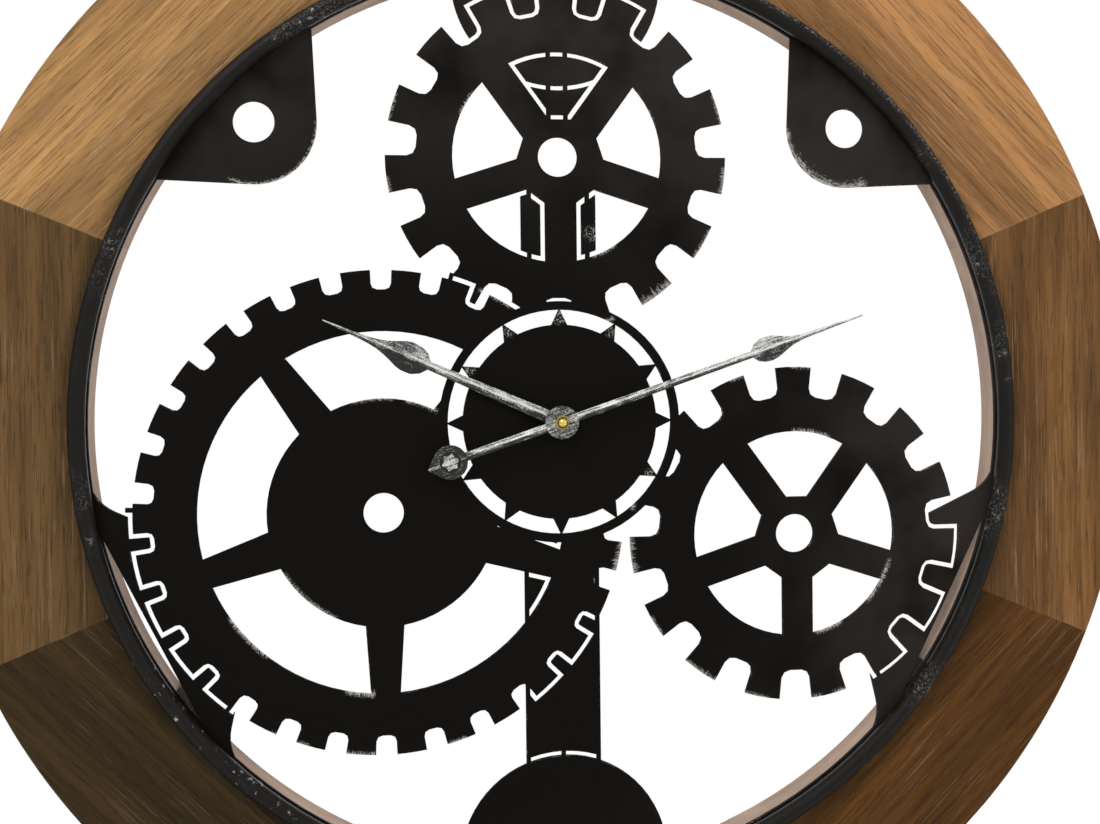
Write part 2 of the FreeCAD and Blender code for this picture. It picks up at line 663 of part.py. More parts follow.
def gear_plate():
    """Everything cut from the one sheet. What lies in front keeps its outline, and a slot round it
    parts it from what lies behind; short bridges carry across the slots. The largest piece is the
    plate: other sizes may leave slivers between two slots, and those drop out as scrap."""
    top = small_gear(polar(top_gear_height, TOP_GEAR_ANGLE))
    right = small_gear(polar(right_gear_distance, RIGHT_GEAR_ANGLE))
    left = large_gear(polar(wheel_distance, LARGE_GEAR_ANGLE))
    inside = disc(s.hoop_radius)
    half = s.column_width / 2
    edge = half - s.bridge_width / 2
    inset = half - s.column_bridge_inset - s.bridge_width / 2
    end = medallion_distance
    medallion_tip = end - s.medallion_radius

    left_grown = gear_face(left, s.slot_width)
    top_grown = gear_face(top, s.slot_width)
    right_grown = gear_face(right, s.slot_width)

    medallions = [disc(s.medallion_radius, (0, z)) for z in (end, -end)]
    grown_medallions = [disc(s.medallion_radius + s.slot_width, (0, z)) for z in (end, -end)]
    column = strip((0, -end), (0, end), s.column_width).cut(grown_medallions)
    column = column.fuse(medallions).common(inside)
    upright = column.cut([left_grown, top_grown])
    lower_bars = [strip((x, -end), (x, -s.dial_ring_radius), s.bridge_width) for x in (edge, -edge)]
    window_low = top_gear_height - pinion_window - s.bridge_width
    upper_bars = [strip((x, window_low), (x, top_gear_height), s.bridge_width) for x in (inset, -inset)]
    window_bars = [strip((x, top_gear_height), (x, end), s.bridge_width)
                   for x in (s.window_bridge_offset, -s.window_bridge_offset)]
    foot_bar = strip((0, -medallion_tip - s.slot_width), (0, -medallion_tip + 2 * s.slot_width),
                     s.bridge_width)
    bars = [bar.common(inside) for bar in lower_bars + upper_bars + window_bars + [foot_bar]]

    rim = ring(rim_outer, wood_inner)
    lugs = [corner_lug(LUG_ANGLE).common(inside), corner_lug(180 - LUG_ANGLE).common(inside)]
    left_gusset = gusset(left).common(inside).cut(left_grown)
    right_gusset = gusset(right).common(inside).cut(right_grown)
    bridges = [bar_across(left, angle) for angle in WHEEL_BRIDGES]
    bridges += [bar_across(right, angle) for angle in PINION_BRIDGES]

    behind_left = gear_face(top).cut(left_grown)
    gears = gear_face(left).fuse([gear_face(right), behind_left])
    body = gears.fuse([upright, left_gusset, right_gusset] + bars + bridges)
    dial_zone = disc(s.dial_ring_radius + s.dial_ring_width / 2)
    holes = [disc(s.gear_hole_radius, gear.middle) for gear in (top, right, left)]
    body = body.cut([dial_zone] + holes)
    body = body.fuse([dial_face(), rim] + lugs)
    lug_holes = [disc(s.lug_hole_radius, polar(lug_distance, angle))
                 for angle in (LUG_ANGLE, 180 - LUG_ANGLE)]
    bush_hole = disc(s.bush_radius + s.bush_clearance)
    body = body.cut(lug_holes + [bush_hole])
    sheets = [raise_from(face, plate_back, s.plate_thickness) for face in body.Faces]
    return sheets[0].fuse(sheets[1:]).removeSplitter().Solids


def mirrored(side):
    """A flat outline from one half of it, above the X axis."""
    other = [Vector(stop.x, 0, -stop.z) for stop in reversed(side)]
    return Part.Face(Part.makePolygon(side + other + side[:1]))


def hand_faces(tip, neck_start, neck_width, peak, peak_width, point_start, point_width, hub_width):
    """Both layers of a spade hand along +X: the long tapered rib, and the spade that it crosses."""
    start = Vector(neck_start, 0, neck_width / 2)
    crown = Vector(peak, 0, peak_width / 2)
    point = Vector(point_start, 0, point_width / 2)
    end = Vector(tip, 0, s.hand_tip_width / 2)
    spade = Part.BSplineCurve()
    spade.interpolate(Points=[start, crown, point],
                      InitialTangent=Vector(*SPADE_TANGENT_SHARES) * (peak - neck_start),
                      FinalTangent=(end - point).normalize() * (point_start - peak))
    rib = mirrored([Vector(0, 0, hub_width / 2), start, point, end])
    return rib, mirrored(spade.discretize(SPADE_POINTS))


def ridged(face, depth, back, tip, widest, height):
    """A hand's sheet, pressed to a ridge of that height along its middle."""
    edge = height - s.hand_bevel
    half = widest / 2
    corners = [(0, -half), (0, half), (-edge, half), (-height, 0), (-edge, -half)]
    roof = Part.Face(Part.makePolygon([Vector(-back, depth + y, z) for y, z in corners + corners[:1]]))
    return raise_from(face, depth, height).common(roof.extrude(Vector(back + tip, 0, 0)))


def hour_hand():
    rib, spade = hand_faces(s.hour_tip, s.hour_spade_start, s.hour_neck_width, s.hour_spade_peak,
                            s.hour_spade_width, s.hour_spade_end, s.hour_point_width, s.hour_shaft_width)
    blade = ridged(rib, hour_back, s.hour_hub_radius, s.hour_tip, s.hour_shaft_width, s.hand_thickness)
    wings = ridged(spade, hour_back, s.hour_hub_radius, s.hour_tip, s.hour_spade_width,
                   s.hand_thickness - s.hand_rib)
    hub = raise_from(few_sided(s.hour_hub_radius, sides=HUB_SIDES), hour_back, s.hand_thickness)
    bore = bored(s.hour_pipe_radius, hour_back, hour_back - s.hand_thickness)
    return blade.fuse([wings, hub]).cut(bore).removeSplitter()


def minute_hand():
    rib, spade = hand_faces(s.minute_tip, s.minute_spade_start, s.minute_neck_width, s.minute_spade_peak,
                            s.minute_spade_width, s.minute_spade_end, s.minute_point_width,
                            s.minute_shaft_width)
    tail = s.tail_disc_distance
    reach = s.tail_disc_radius + s.tail_point
    half = s.minute_shaft_width / 2
    rib = rib.fuse(rounded([(0, half), (0, -half), (-tail, -half), (-tail, half)]))
    blade = ridged(rib, minute_back, tail, s.minute_tip, s.minute_shaft_width, s.hand_thickness)
    wings = ridged(spade, minute_back, tail, s.minute_tip, s.minute_spade_width,
                   s.hand_thickness - s.hand_rib)
    lean = math.degrees(math.acos(s.tail_disc_radius / reach))
    flanks = [moved(polar(s.tail_disc_radius, 180 + side * lean), (-tail, 0)) for side in (1, -1)]
    flat = [few_sided(s.minute_hub_radius, sides=HUB_SIDES), rounded([(-tail - reach, 0)] + flanks),
            few_sided(s.tail_disc_radius, (-tail, 0), HUB_SIDES)]
    solid = blade.fuse([wings] + [raise_from(part, minute_back, s.hand_thickness) for part in flat])
    recess = few_sided(s.tail_recess_radius, (-tail, 0), HUB_SIDES)
    star = [polar(s.tail_boss_radius * (BOSS_NOTCH_SHARE if corner % 2 else 1), 180 / BOSS_POINTS * corner)
            for corner in range(2 * BOSS_POINTS)]
    boss = rounded([moved(corner, (-tail, 0)) for corner in star])
    bore = bored(s.arbor_radius, minute_back, minute_front)
    cut_depth = minute_front + s.tail_recess_depth
    solid = solid.cut(raise_from(recess.cut(boss), cut_depth, s.overrun))
    return solid.cut(bore).removeSplitter()


def toothed(teeth, module, depth, length, middle, toward, gap=False):
    """A small wheel whose tooth, or gap, points at an angle; it grows to the front from its depth."""
    pitch = 360 / teeth
    start = toward + (pitch / 2 if gap else 0)
    low = module * (teeth / 2 - TOOTH_ROOT_SHARE)
    high = module * (teeth / 2 + TOOTH_TIP_SHARE)
    corners = []
    for index in range(teeth):
        angle = start + pitch * index
        corners += [polar(low, angle - pitch / 2), polar(high, angle)]
    face = rounded([moved(corner, middle) for corner in corners])
    return raise_from(face, depth, length)


def few_sided(radius, middle=(0, 0), sides=ROD_SIDES):
    """A small disc with few sides, its corners on the circle."""
    return rounded([moved(polar(radius, 360 / sides * number), middle) for number in range(sides)])


def arbor(radius, back, front, middle):
    """A true round arbor, for a wheel to turn on."""
    return raise_from(disc(radius, middle), back, back - front)


def rod(radius, back, front, middle, sides=ROD_SIDES):
    return raise_from(few_sided(radius, middle, sides), back, back - front)


def bored(radius, back, front, sides=BORE_SIDES):
    """The cutter of a round bore on the dial's axis, its flats on the circle."""
    return rod(radius / math.cos(math.pi / sides), back, front, (0, 0), sides)


def along_x(radius, start, length, depth, level, sides):
    """A round bar with few sides that runs to the right, or to the left if its length is negative."""
    corners = [polar(radius, 360 / sides * (number + 0.5)) for number in range(sides)]
    points = [Vector(start, depth + y, level + z) for y, z in corners]
    return Part.Face(Part.makePolygon(points + points[:1])).extrude(Vector(length, 0, 0))


def wheel_layer(number):
    """Back of a wheel in one of the movement's layers, counted from the front."""
    return layers[number] + s.wheel_thickness


def strap(label, degrees, width, reach, screws):
    """A steel strip bent twice: from the plate's back, along the boards' inner edge, to their back."""
    body = new_body(label, clockwise(-degrees))
    near = wood_inner - width * width / (8 * wood_inner) - s.strap_clearance
    riser = near - s.strap_thickness
    foot = near - s.strap_foot
    far = near + reach
    side = [(foot, plate_back), (near, plate_back), (near, wood_back), (far, wood_back),
            (far, 0), (riser, 0), (riser, plate_back + s.strap_thickness),
            (foot, plate_back + s.strap_thickness)]
    pad(body, width, [side], plane="XY_Plane", midplane=True)
    holes = [round_loop(wood_inner + along, across, s.screw_radius + s.screw_clearance)
             for along, across in screws]
    pocket(body, s.strap_thickness, holes, depth=wood_back)
    return body


# The metalwork and the wooden ring.
feature("gear_plate", max(gear_plate(), key=lambda piece: piece.Volume))

# The bar's section has a corner on the plate, all the way round.
turns = [math.pi * (0.5 + 2 * number / HOOP_SIDES) for number in range(HOOP_SIDES)]
bar = s.hoop_bar / 2
turned_body("inner_hoop", [(s.hoop_radius + bar * math.cos(turn), plate_front - bar + bar * math.sin(turn))
                           for turn in turns])
board = box_corners(wood_inner, wood_outer, plate_back, wood_back)
count = int(s.board_count)
for number in range(count):
    degrees = 90 - 360 / count * number
    segment = turned_body("wood_board_%d" % (number + 1), board, angle=360 / count,
                          turn=clockwise(-degrees))
    if number == 0:
        room = doc.addObject("PartDesign::Pocket", "keyhole_room")
        segment.addObject(room)
        room.Profile = new_sketch(segment, "XZ_Plane", circles=[
            (hang_drop + s.keyhole_rise / 2, 0, s.keyhole_recess_radius + s.keyhole_rise / 2)],
            depth=wood_back)
        room.Reversed = True
        bind(room, Length=s.keyhole_recess)

# Each strap's own X runs outwards along it, and its own Z across it.
single = [(s.screw_setback, 0)]
pair = [(s.hanger_screw_setback, s.hanger_screw_side), (s.hanger_screw_setback, -s.hanger_screw_side)]
hanger = strap("hanger_strap", 90, s.hanger_width, s.hanger_reach, pair)
pocket(hanger, s.strap_thickness, circles=[(hang_drop, 0, s.keyhole_radius)], depth=wood_back)
pocket(hanger, s.strap_thickness, depth=wood_back, loops=[
    box_corners(hang_drop, hang_drop + s.keyhole_rise, -s.keyhole_slot / 2, s.keyhole_slot / 2)])
pocket(hanger, s.strap_thickness, depth=wood_back,
       circles=[(hang_drop + s.keyhole_rise, 0, s.keyhole_slot / 2)])

right_side = RIGHT_GEAR_ANGLE - STRAP_OFFSET
left_side = LARGE_GEAR_ANGLE + STRAP_OFFSET
places = [("strap_upper_right", LUG_ANGLE), ("strap_upper_left", 180 - LUG_ANGLE),
          ("strap_lower_left", left_side), ("strap_lower_right", right_side), ("strap_bottom", -90)]
for label, degrees in places:
    strap(label, degrees, s.strap_width, s.strap_reach, single)

spots = [(90, along, side) for along, side in pair]
spots += [(degrees, along, side) for _, degrees in places for along, side in single]
screws = []
for degrees, along, side in spots:
    spot = turned((wood_inner + along, side), degrees)
    shank = rod(s.screw_radius, s.screw_length * -1, 0, spot)
    rim = few_sided(s.screw_head_radius, spot).Wires[0]
    crown = few_sided(s.screw_head_radius / 2, spot).Wires[0]
    crown.translate(Vector(0, s.screw_head_height, 0))
    screws.append(shank.fuse(Part.makeLoft([rim, crown], True)))
feature("strap_screws", Part.makeCompound(screws))

pads = []
for degrees in BUMPER_ANGLES:
    spot = polar(wood_inner + s.bumper_setback, degrees)
    base = few_sided(s.bumper_radius, spot, BORE_SIDES).Wires[0]
    end = few_sided(s.bumper_radius - s.bumper_taper, spot, BORE_SIDES).Wires[0]
    base.translate(Vector(0, wood_back, 0))
    end.translate(Vector(0, wood_back + s.bumper_height, 0))
    pads.append(Part.makeLoft([base, end], True))
feature("wall_bumpers", Part.makeCompound(pads))

# The movement's still pieces, from the front to the back.
nut = doc.addObject("Part::Cut", "hex_nut")
nut.Base = prism("hex_nut_outside", 6, s.nut_across_flats / math.sqrt(3), s.nut_height, 0,
                 plate_front - s.washer_thickness, 0)
nut.Tool = prism("hex_nut_bore", BORE_SIDES, s.bush_radius / math.cos(math.pi / BORE_SIDES), s.nut_height,
                 0, plate_front - s.washer_thickness, 0)
keep(nut, "hex_nut")
ring_bar("brass_washer", BORE_SIDES, s.washer_radius, s.bush_radius, s.washer_thickness, plate_front)
ring_bar("rubber_washer", BORE_SIDES, s.gasket_radius, s.bush_radius, s.gasket_thickness, case_front)
ring_bar("centre_bush", BORE_SIDES, s.bush_radius, s.hour_pipe_radius + s.running_clearance,
         case_floor - bush_front, case_floor)

works_at = (-s.works_distance, 0)
third_at = (s.third_distance, 0)
step_at = (0, s.step_distance)
rotor_at = (0, s.step_distance + s.rotor_distance)
bearing = s.pivot_radius + s.running_clearance

case = new_body("movement_case")
outside = room_side + s.case_wall
block = pad(case, s.case_depth, [box_corners(-outside, outside, room_bottom - s.case_wall,
                                             room_top + s.case_wall)], depth=case_back)
round_uprights(case, block, s.case_corner)
pocket(case, s.case_depth - s.case_wall, depth=case_floor, loops=[
    box_corners(-room_side, room_side, room_bottom, bay_top),
    box_corners(-room_side, room_side, bay_top + s.case_wall, room_top)])
pillar_back = stator_back - s.stator_thickness
pad(case, pillar_back - case_floor, depth=pillar_back, loops=[
    round_loop(side, rotor_at[1], s.bearing_boss_radius)
    for side in (s.pillar_distance, -s.pillar_distance)])
pivots = [round_loop(third_at[0], 0, bearing), round_loop(0, step_at[1], bearing),
          round_loop(0, rotor_at[1], bearing),
          round_loop(works_at[0], 0, s.knob_arbor_radius + s.running_clearance)]
pocket(case, s.case_wall, pivots + [round_loop(0, 0, s.bush_radius, BORE_SIDES)], depth=case_front)

cover = new_body("movement_cover")
pad(cover, s.case_wall, [box_corners(-room_side, room_side, bay_top + s.case_wall, room_top)] + pivots
    + [round_loop(0, 0, bearing)], depth=case_back)

half_width = s.stator_width / 2
stator = new_body("stator")
pad(stator, s.stator_thickness, depth=stator_back, loops=[
    box_corners(-half_width, half_width, rotor_at[1] - s.stator_height / 2,
                rotor_at[1] + s.stator_height / 2),
    round_loop(0, rotor_at[1], s.magnet_radius + s.air_gap, BORE_SIDES)])

core_back = stator_back - s.stator_thickness
reach = half_width - s.core_width
leg = core_level - s.coil_radius - s.core_width
low = core_level - s.core_width / 2
high = core_level + s.core_width / 2
core = [(-half_width, leg), (-reach, leg), (-reach, low), (reach, low), (reach, leg), (half_width, leg),
        (half_width, high), (-half_width, high)]
winding = along_x(s.coil_radius, -s.coil_length / 2, s.coil_length, core_back - s.core_thickness / 2,
                  core_level, BORE_SIDES)
feature("coil", raise_from(rounded(core), core_back, s.core_thickness).fuse(winding))

board_side = room_side - s.board_width
pad(new_body("circuit_board"), s.board_thickness, depth=case_floor + s.board_thickness, loops=[
    box_corners(board_side, room_side, bay_top + s.case_wall + s.cell_play,
                bay_top + s.case_wall + s.cell_play + s.board_height)])

# The cell lies across the bay, its button to the right, between two sprung contacts.
for label, sign in (("contact_plus", 1), ("contact_minus", -1)):
    blade = Part.makeBox(s.contact_thickness, 2 * s.cell_radius, s.contact_width,
                         Vector(contact_face if sign > 0 else -room_side, cell_depth - s.cell_radius,
                                cell_level - s.contact_width / 2))
    bump = along_x(s.contact_bump, sign * contact_face, -sign * (contact_face - half_cell - s.contact_gap),
                   cell_depth, cell_level, ROD_SIDES)
    feature(label, blade.fuse(bump))
cell = along_x(s.cell_radius, -half_cell, s.cell_length, cell_depth, cell_level, CELL_SIDES)
button = along_x(s.cell_button_radius, half_cell - s.cell_button_length, s.cell_button_length, cell_depth,
                 cell_level, ROD_SIDES)
feature("battery_cell", cell.fuse(button))

# The turning pieces. Each wheel's tooth points at the pinion it drives, whose gap points back.
module = SimpleNamespace(
    cannon=2 * s.works_distance / (TRAIN["cannon_teeth"] + TRAIN["works_wheel_teeth"]),
    works=2 * s.works_distance / (TRAIN["works_pinion_teeth"] + TRAIN["hour_wheel_teeth"]),
    centre=2 * s.third_distance / (TRAIN["centre_wheel_teeth"] + TRAIN["third_pinion_teeth"]),
    third=2 * s.third_distance / (TRAIN["third_wheel_teeth"] + TRAIN["second_pinion_teeth"]),
    second=2 * s.step_distance / (TRAIN["second_wheel_teeth"] + TRAIN["step_pinion_teeth"]),
    step=2 * s.rotor_distance / (TRAIN["step_wheel_teeth"] + TRAIN["rotor_pinion_teeth"]))
middle = (0, 0)
thick = s.wheel_thickness
bore = s.arbor_radius + s.running_clearance

pipe_end = hour_back - s.hand_thickness
hour_disc = toothed(TRAIN["hour_wheel_teeth"], module.works, wheel_layer(0), thick, middle, 180)
hour_pipe = rod(s.hour_pipe_radius, wheel_layer(0), pipe_end, middle, BORE_SIDES)
feature("hour_wheel", hour_disc.fuse(hour_pipe).cut(bored(bore, wheel_layer(0), pipe_end)))
feature("hour_hand", spin(hour_hand(), 90 - HOUR_ANGLE))

arbor_back = wheel_layer(2) + s.inner_gap
arbor_end = minute_front - s.cap_thread_depth
cannon = toothed(TRAIN["cannon_teeth"], module.cannon, wheel_layer(1), thick, middle, 180, gap=True)
cannon = cannon.fuse(rod(s.arbor_radius, arbor_back, arbor_end, middle, BORE_SIDES))
feature("minute_arbor", cannon.cut(bored(bearing, arbor_back, wheel_layer(1), ROD_SIDES)))
feature("minute_hand", spin(minute_hand(), 90 - MINUTE_ANGLE))

rings = [(1.0, minute_front)]
dome_front, dome_height = minute_front - s.cap_skirt, s.cap_height - s.cap_skirt
rings += [(wide, dome_front - dome_height * high) for wide, high in DOME_SHARES]
wires = []
for wide, depth in rings:
    wire = few_sided(s.cap_radius * wide, sides=BORE_SIDES).Wires[0]
    wire.translate(Vector(0, depth, 0))
    wires.append(wire)
cap = Part.makeLoft(wires, True, True)
feature("cap_nut", cap.cut(bored(s.arbor_radius, minute_front, arbor_end)))

works_end = case_back + s.knob_gap + s.knob_height
works = toothed(TRAIN["works_wheel_teeth"], module.cannon, wheel_layer(1), thick, works_at, 0)
works = works.fuse([toothed(TRAIN["works_pinion_teeth"], module.works, wheel_layer(0), thick, works_at, 0,
                            gap=True),
                    arbor(s.knob_arbor_radius, works_end, case_front, works_at)])
feature("works_wheel", works)
ring_bar("setting_knob", BORE_SIDES, s.knob_radius, s.knob_arbor_radius, s.knob_height, works_end,
         -s.works_distance)

centre = toothed(TRAIN["centre_wheel_teeth"], module.centre, wheel_layer(2), thick, middle, 0)
feature("centre_wheel", centre.cut(bored(bore, wheel_layer(2), layers[2])))
third = toothed(TRAIN["third_wheel_teeth"], module.third, wheel_layer(3), thick, third_at, 180)
third = third.fuse([toothed(TRAIN["third_pinion_teeth"], module.centre, wheel_layer(2), thick, third_at, 180,
                            gap=True),
                    arbor(s.pivot_radius, case_back, case_front, third_at)])
feature("third_wheel", third)
second = toothed(TRAIN["second_wheel_teeth"], module.second, wheel_layer(4), thick, middle, 90)
second = second.fuse([toothed(TRAIN["second_pinion_teeth"], module.third, wheel_layer(3), thick, middle, 0,
                              gap=True),
                      arbor(s.pivot_radius, case_back, layers[2], middle)])
feature("second_wheel", second)
step = toothed(TRAIN["step_wheel_teeth"], module.step, wheel_layer(5), thick, step_at, 90)
step = step.fuse([toothed(TRAIN["step_pinion_teeth"], module.second, wheel_layer(4), thick, step_at, -90,
                          gap=True),
                  arbor(s.pivot_radius, case_back, case_front, step_at)])
feature("intermediate_wheel", step)
rotor = toothed(TRAIN["rotor_pinion_teeth"], module.step, wheel_layer(5), thick, rotor_at, -90, gap=True)
rotor = rotor.fuse([rod(s.magnet_radius, magnet_back, magnet_back - s.magnet_height, rotor_at, BORE_SIDES),
                    arbor(s.pivot_radius, case_back, case_front, rotor_at)])
feature("rotor", rotor)

doc.recompute()
os.makedirs("parts", exist_ok=True)
for item in made:
    bad = {"Invalid", "Error"} & set(item.State)
    if bad or item.Shape.isNull() or not item.Shape.isValid() or item.Shape.Volume <= 0:
        raise RuntimeError("%s has no sound shape" % item.Label)
for item in made:
    item.Shape.exportStep("parts/%s.step" % item.Label)
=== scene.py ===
import math

import bmesh
import bpy
from mathutils import Matrix, Vector


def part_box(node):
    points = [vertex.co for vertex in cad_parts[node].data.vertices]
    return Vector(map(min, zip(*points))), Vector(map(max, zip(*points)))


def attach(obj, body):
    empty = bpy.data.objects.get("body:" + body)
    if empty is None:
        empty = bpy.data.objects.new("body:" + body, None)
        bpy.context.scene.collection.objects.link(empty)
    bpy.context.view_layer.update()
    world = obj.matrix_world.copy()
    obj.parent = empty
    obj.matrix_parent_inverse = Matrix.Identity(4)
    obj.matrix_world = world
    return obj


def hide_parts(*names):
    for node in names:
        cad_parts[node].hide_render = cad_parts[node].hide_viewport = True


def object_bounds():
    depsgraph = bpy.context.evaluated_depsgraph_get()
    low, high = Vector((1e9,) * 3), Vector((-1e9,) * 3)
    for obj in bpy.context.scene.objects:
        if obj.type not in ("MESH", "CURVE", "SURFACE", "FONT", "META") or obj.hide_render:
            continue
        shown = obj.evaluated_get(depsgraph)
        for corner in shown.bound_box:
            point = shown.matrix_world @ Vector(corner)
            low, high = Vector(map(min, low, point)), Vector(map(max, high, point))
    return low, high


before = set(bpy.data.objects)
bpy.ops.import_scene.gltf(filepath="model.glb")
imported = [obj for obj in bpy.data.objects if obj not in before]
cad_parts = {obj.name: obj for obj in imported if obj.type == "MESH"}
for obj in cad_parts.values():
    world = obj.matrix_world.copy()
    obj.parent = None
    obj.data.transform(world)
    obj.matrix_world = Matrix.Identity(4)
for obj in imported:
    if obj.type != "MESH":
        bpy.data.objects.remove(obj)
LOW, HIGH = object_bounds()

MM = 0.001
WHITE = (1, 1, 1, 1)
# A toned colour gets no lighter than this, out of 255.
LIGHTEST = 250

# The dial's axis at the depth of the frontmost point, the plate's front face, and the hoop's size.
DIAL = Vector(((LOW.x + HIGH.x) / 2, LOW.y, (LOW.z + HIGH.z) / 2))
PLATE_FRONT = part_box("gear_plate")[0].y
HOOP_LOW, HOOP_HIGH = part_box("inner_hoop")
HOOP_RADIUS = (HOOP_HIGH.x - HOOP_LOW.x) / 2
HOOP_BAR = HOOP_HIGH.y - HOOP_LOW.y


def shade(red, green, blue):
    """A colour as it shows on screen, 0 to 255, turned into the linear values that sockets take."""
    linear = [c / 255 / 12.92 if c <= 10 else ((c / 255 + 0.055) / 1.055) ** 2.4
              for c in (red, green, blue)]
    return (*linear, 1.0)


def toned(colour, share):
    """The shade of a colour made darker or lighter by a share."""
    return shade(*(min(c * share, LIGHTEST) for c in colour))


class Recipe:
    """A material and short ways to write its nodes."""

    SOCKETS = {"colour": "Base Color", "rough": "Roughness", "metal": "Metallic", "normal": "Normal",
               "gloss": "Specular IOR Level", "glow_colour": "Emission Color", "glow": "Emission Strength"}
    BEVEL_SAMPLES = 6
    FULL_SHARE = 0.35

    def __init__(self, name):
        self.material = bpy.data.materials.new(name)
        self.material.use_nodes = True
        self.tree = self.material.node_tree
        self.tree.nodes.clear()
        place = self.node("ShaderNodeTexCoord")
        self.spot, self.facing = place.outputs["Object"], place.outputs["Normal"]

    def node(self, kind, inputs=(), **settings):
        """A new node with its settings, and with a value or a link on each input that is given."""
        made = self.tree.nodes.new(kind)
        for key, value in settings.items():
            setattr(made, key, value)
        for key, value in dict(inputs).items():
            self.put(made.inputs[key], value)
        return made

    def put(self, socket, value):
        """Set a socket to a plain value, or link it to another socket."""
        if isinstance(value, bpy.types.NodeSocket):
            self.tree.links.new(value, socket)
        else:
            socket.default_value = value

    def math(self, operation, *values):
        """A number worked out from others, which are values or sockets."""
        return self.node("ShaderNodeMath", enumerate(values), operation=operation).outputs[0]

    def plus(self, first, second):
        return self.math("ADD", first, second)

    def minus(self, first, second):
        return self.math("SUBTRACT", first, second)

    def times(self, *values):
        """The product of some numbers."""
        made = values[0]
        for value in values[1:]:
            made = self.math("MULTIPLY", made, value)
        return made

    def either(self, *values):
        """The greatest of some numbers."""
        made = values[0]
        for value in values[1:]:
            made = self.math("MAXIMUM", made, value)
        return made

    def vector(self, operation, *values):
        """A vector operation that gives a vector."""
        return self.node("ShaderNodeVectorMath", enumerate(values), operation=operation).outputs[0]

    def measure(self, operation, *values):
        """A vector operation that gives a number, such as a distance or a dot product."""
        return self.node("ShaderNodeVectorMath", enumerate(values), operation=operation).outputs["Value"]

    def step(self, value, start, end):
        """0 at start and before it, 1 at end and past it, and smooth between them."""
        return self.node("ShaderNodeMapRange", {"Value": value, "From Min": start, "From Max": end},
                         interpolation_type="SMOOTHSTEP").outputs[0]

    def blend(self, share, first, second):
        """A colour between two."""
        return self.node("ShaderNodeMix", {0: share, 6: first, 7: second}, data_type="RGBA").outputs[2]

    def between(self, share, first, second):
        """A number between two."""
        return self.node("ShaderNodeMix", {0: share, 2: first, 3: second}, data_type="FLOAT").outputs[0]

    def noise(self, scale, detail=3.0, roughness=0.55, spot=None):
        """A cloudy pattern around 0.5, with that many changes to a metre unless a spot is given."""
        inputs = {"Vector": spot or self.spot, "Scale": scale, "Detail": detail, "Roughness": roughness}
        return self.node("ShaderNodeTexNoise", inputs).outputs[0]

    def turned(self, degrees, stretch):
        """The place turned about the depth axis and then stretched along each axis."""
        turn = (0, math.radians(degrees), 0)
        made = self.node("ShaderNodeMapping", {"Vector": self.spot, "Rotation": turn})
        return self.vector("MULTIPLY", made.outputs[0], stretch)

    def around(self, middle):
        """The place's angle about a point of the dial, in radians, and its distance from the axis there."""
        x, _, z = self.node("ShaderNodeSeparateXYZ", {0: self.vector("SUBTRACT", self.spot, middle)}).outputs
        squared = self.plus(self.times(x, x), self.times(z, z))
        return self.math("ARCTAN2", z, x), self.math("SQRT", squared)

    def near(self, middle, reach):
        """1 within FULL_SHARE of the reach from a point, fading to 0 at the reach."""
        return self.step(self.measure("DISTANCE", self.spot, middle), reach, reach * self.FULL_SHARE)

    def towards(self, direction):
        """How squarely the surface faces a direction, or a vector socket."""
        return self.measure("DOT_PRODUCT", self.facing, direction)

    def soft(self, radius):
        """The surface's normal with its edges rounded over."""
        return self.node("ShaderNodeBevel", {"Radius": radius}, samples=self.BEVEL_SAMPLES).outputs[0]

    def edges(self, radius, low=0.02, high=0.3):
        """1 on and beside a solid's edges, as wide as the radius, and 0 on its flats."""
        plain = self.node("ShaderNodeNewGeometry").outputs["Normal"]
        match = self.measure("DOT_PRODUCT", self.soft(radius), plain)
        return self.step(self.minus(1.0, match), low, high)

    def bump(self, height, depth, strength, normal=None):
        """A normal that follows a height, over the plain normal or another one."""
        inputs = {"Height": height, "Distance": depth, "Strength": strength}
        if normal:
            inputs["Normal"] = normal
        return self.node("ShaderNodeBump", inputs).outputs[0]

    def finish(self, **sockets):
        """The material, with a principled shader that takes the sockets named in SOCKETS."""
        inputs = {self.SOCKETS[key]: value for key, value in sockets.items()}
        shader = self.node("ShaderNodeBsdfPrincipled", inputs)
        self.node("ShaderNodeOutputMaterial", {"Surface": shader.outputs[0]})
        return self.material


def on_dial(across, up):
    """A point of the plate's front, given in millimetres from the dial's centre."""
    return Vector((DIAL.x + across * MM, PLATE_FRONT, DIAL.z + up * MM))


def polar(middle, degrees, distance):
    """The point at a distance from a middle, its direction counted anticlockwise from the right."""
    turn = math.radians(degrees)
    return (middle[0] + distance * math.cos(turn), middle[1] + distance * math.sin(turn))


# The middles of the plate's gears and lugs, across and up from the dial's centre in millimetres.
TOP_GEAR, RIGHT_GEAR, LEFT_GEAR = (0.0, 123.8), (112.4, -55.3), (-82.4, -40.7)
LUG_LEFT, LUG_RIGHT = (-138.6, 138.6), (138.6, 138.6)
# The radii of the cut edges about those middles, in millimetres.
PINION_TIP, PINION_WINDOW = 79.9, 49.0
WHEEL_TIP, WHEEL_WINDOW, WHEEL_HUB = 112.1, 83.9, 52.9
LUG_CORNER = 28.2

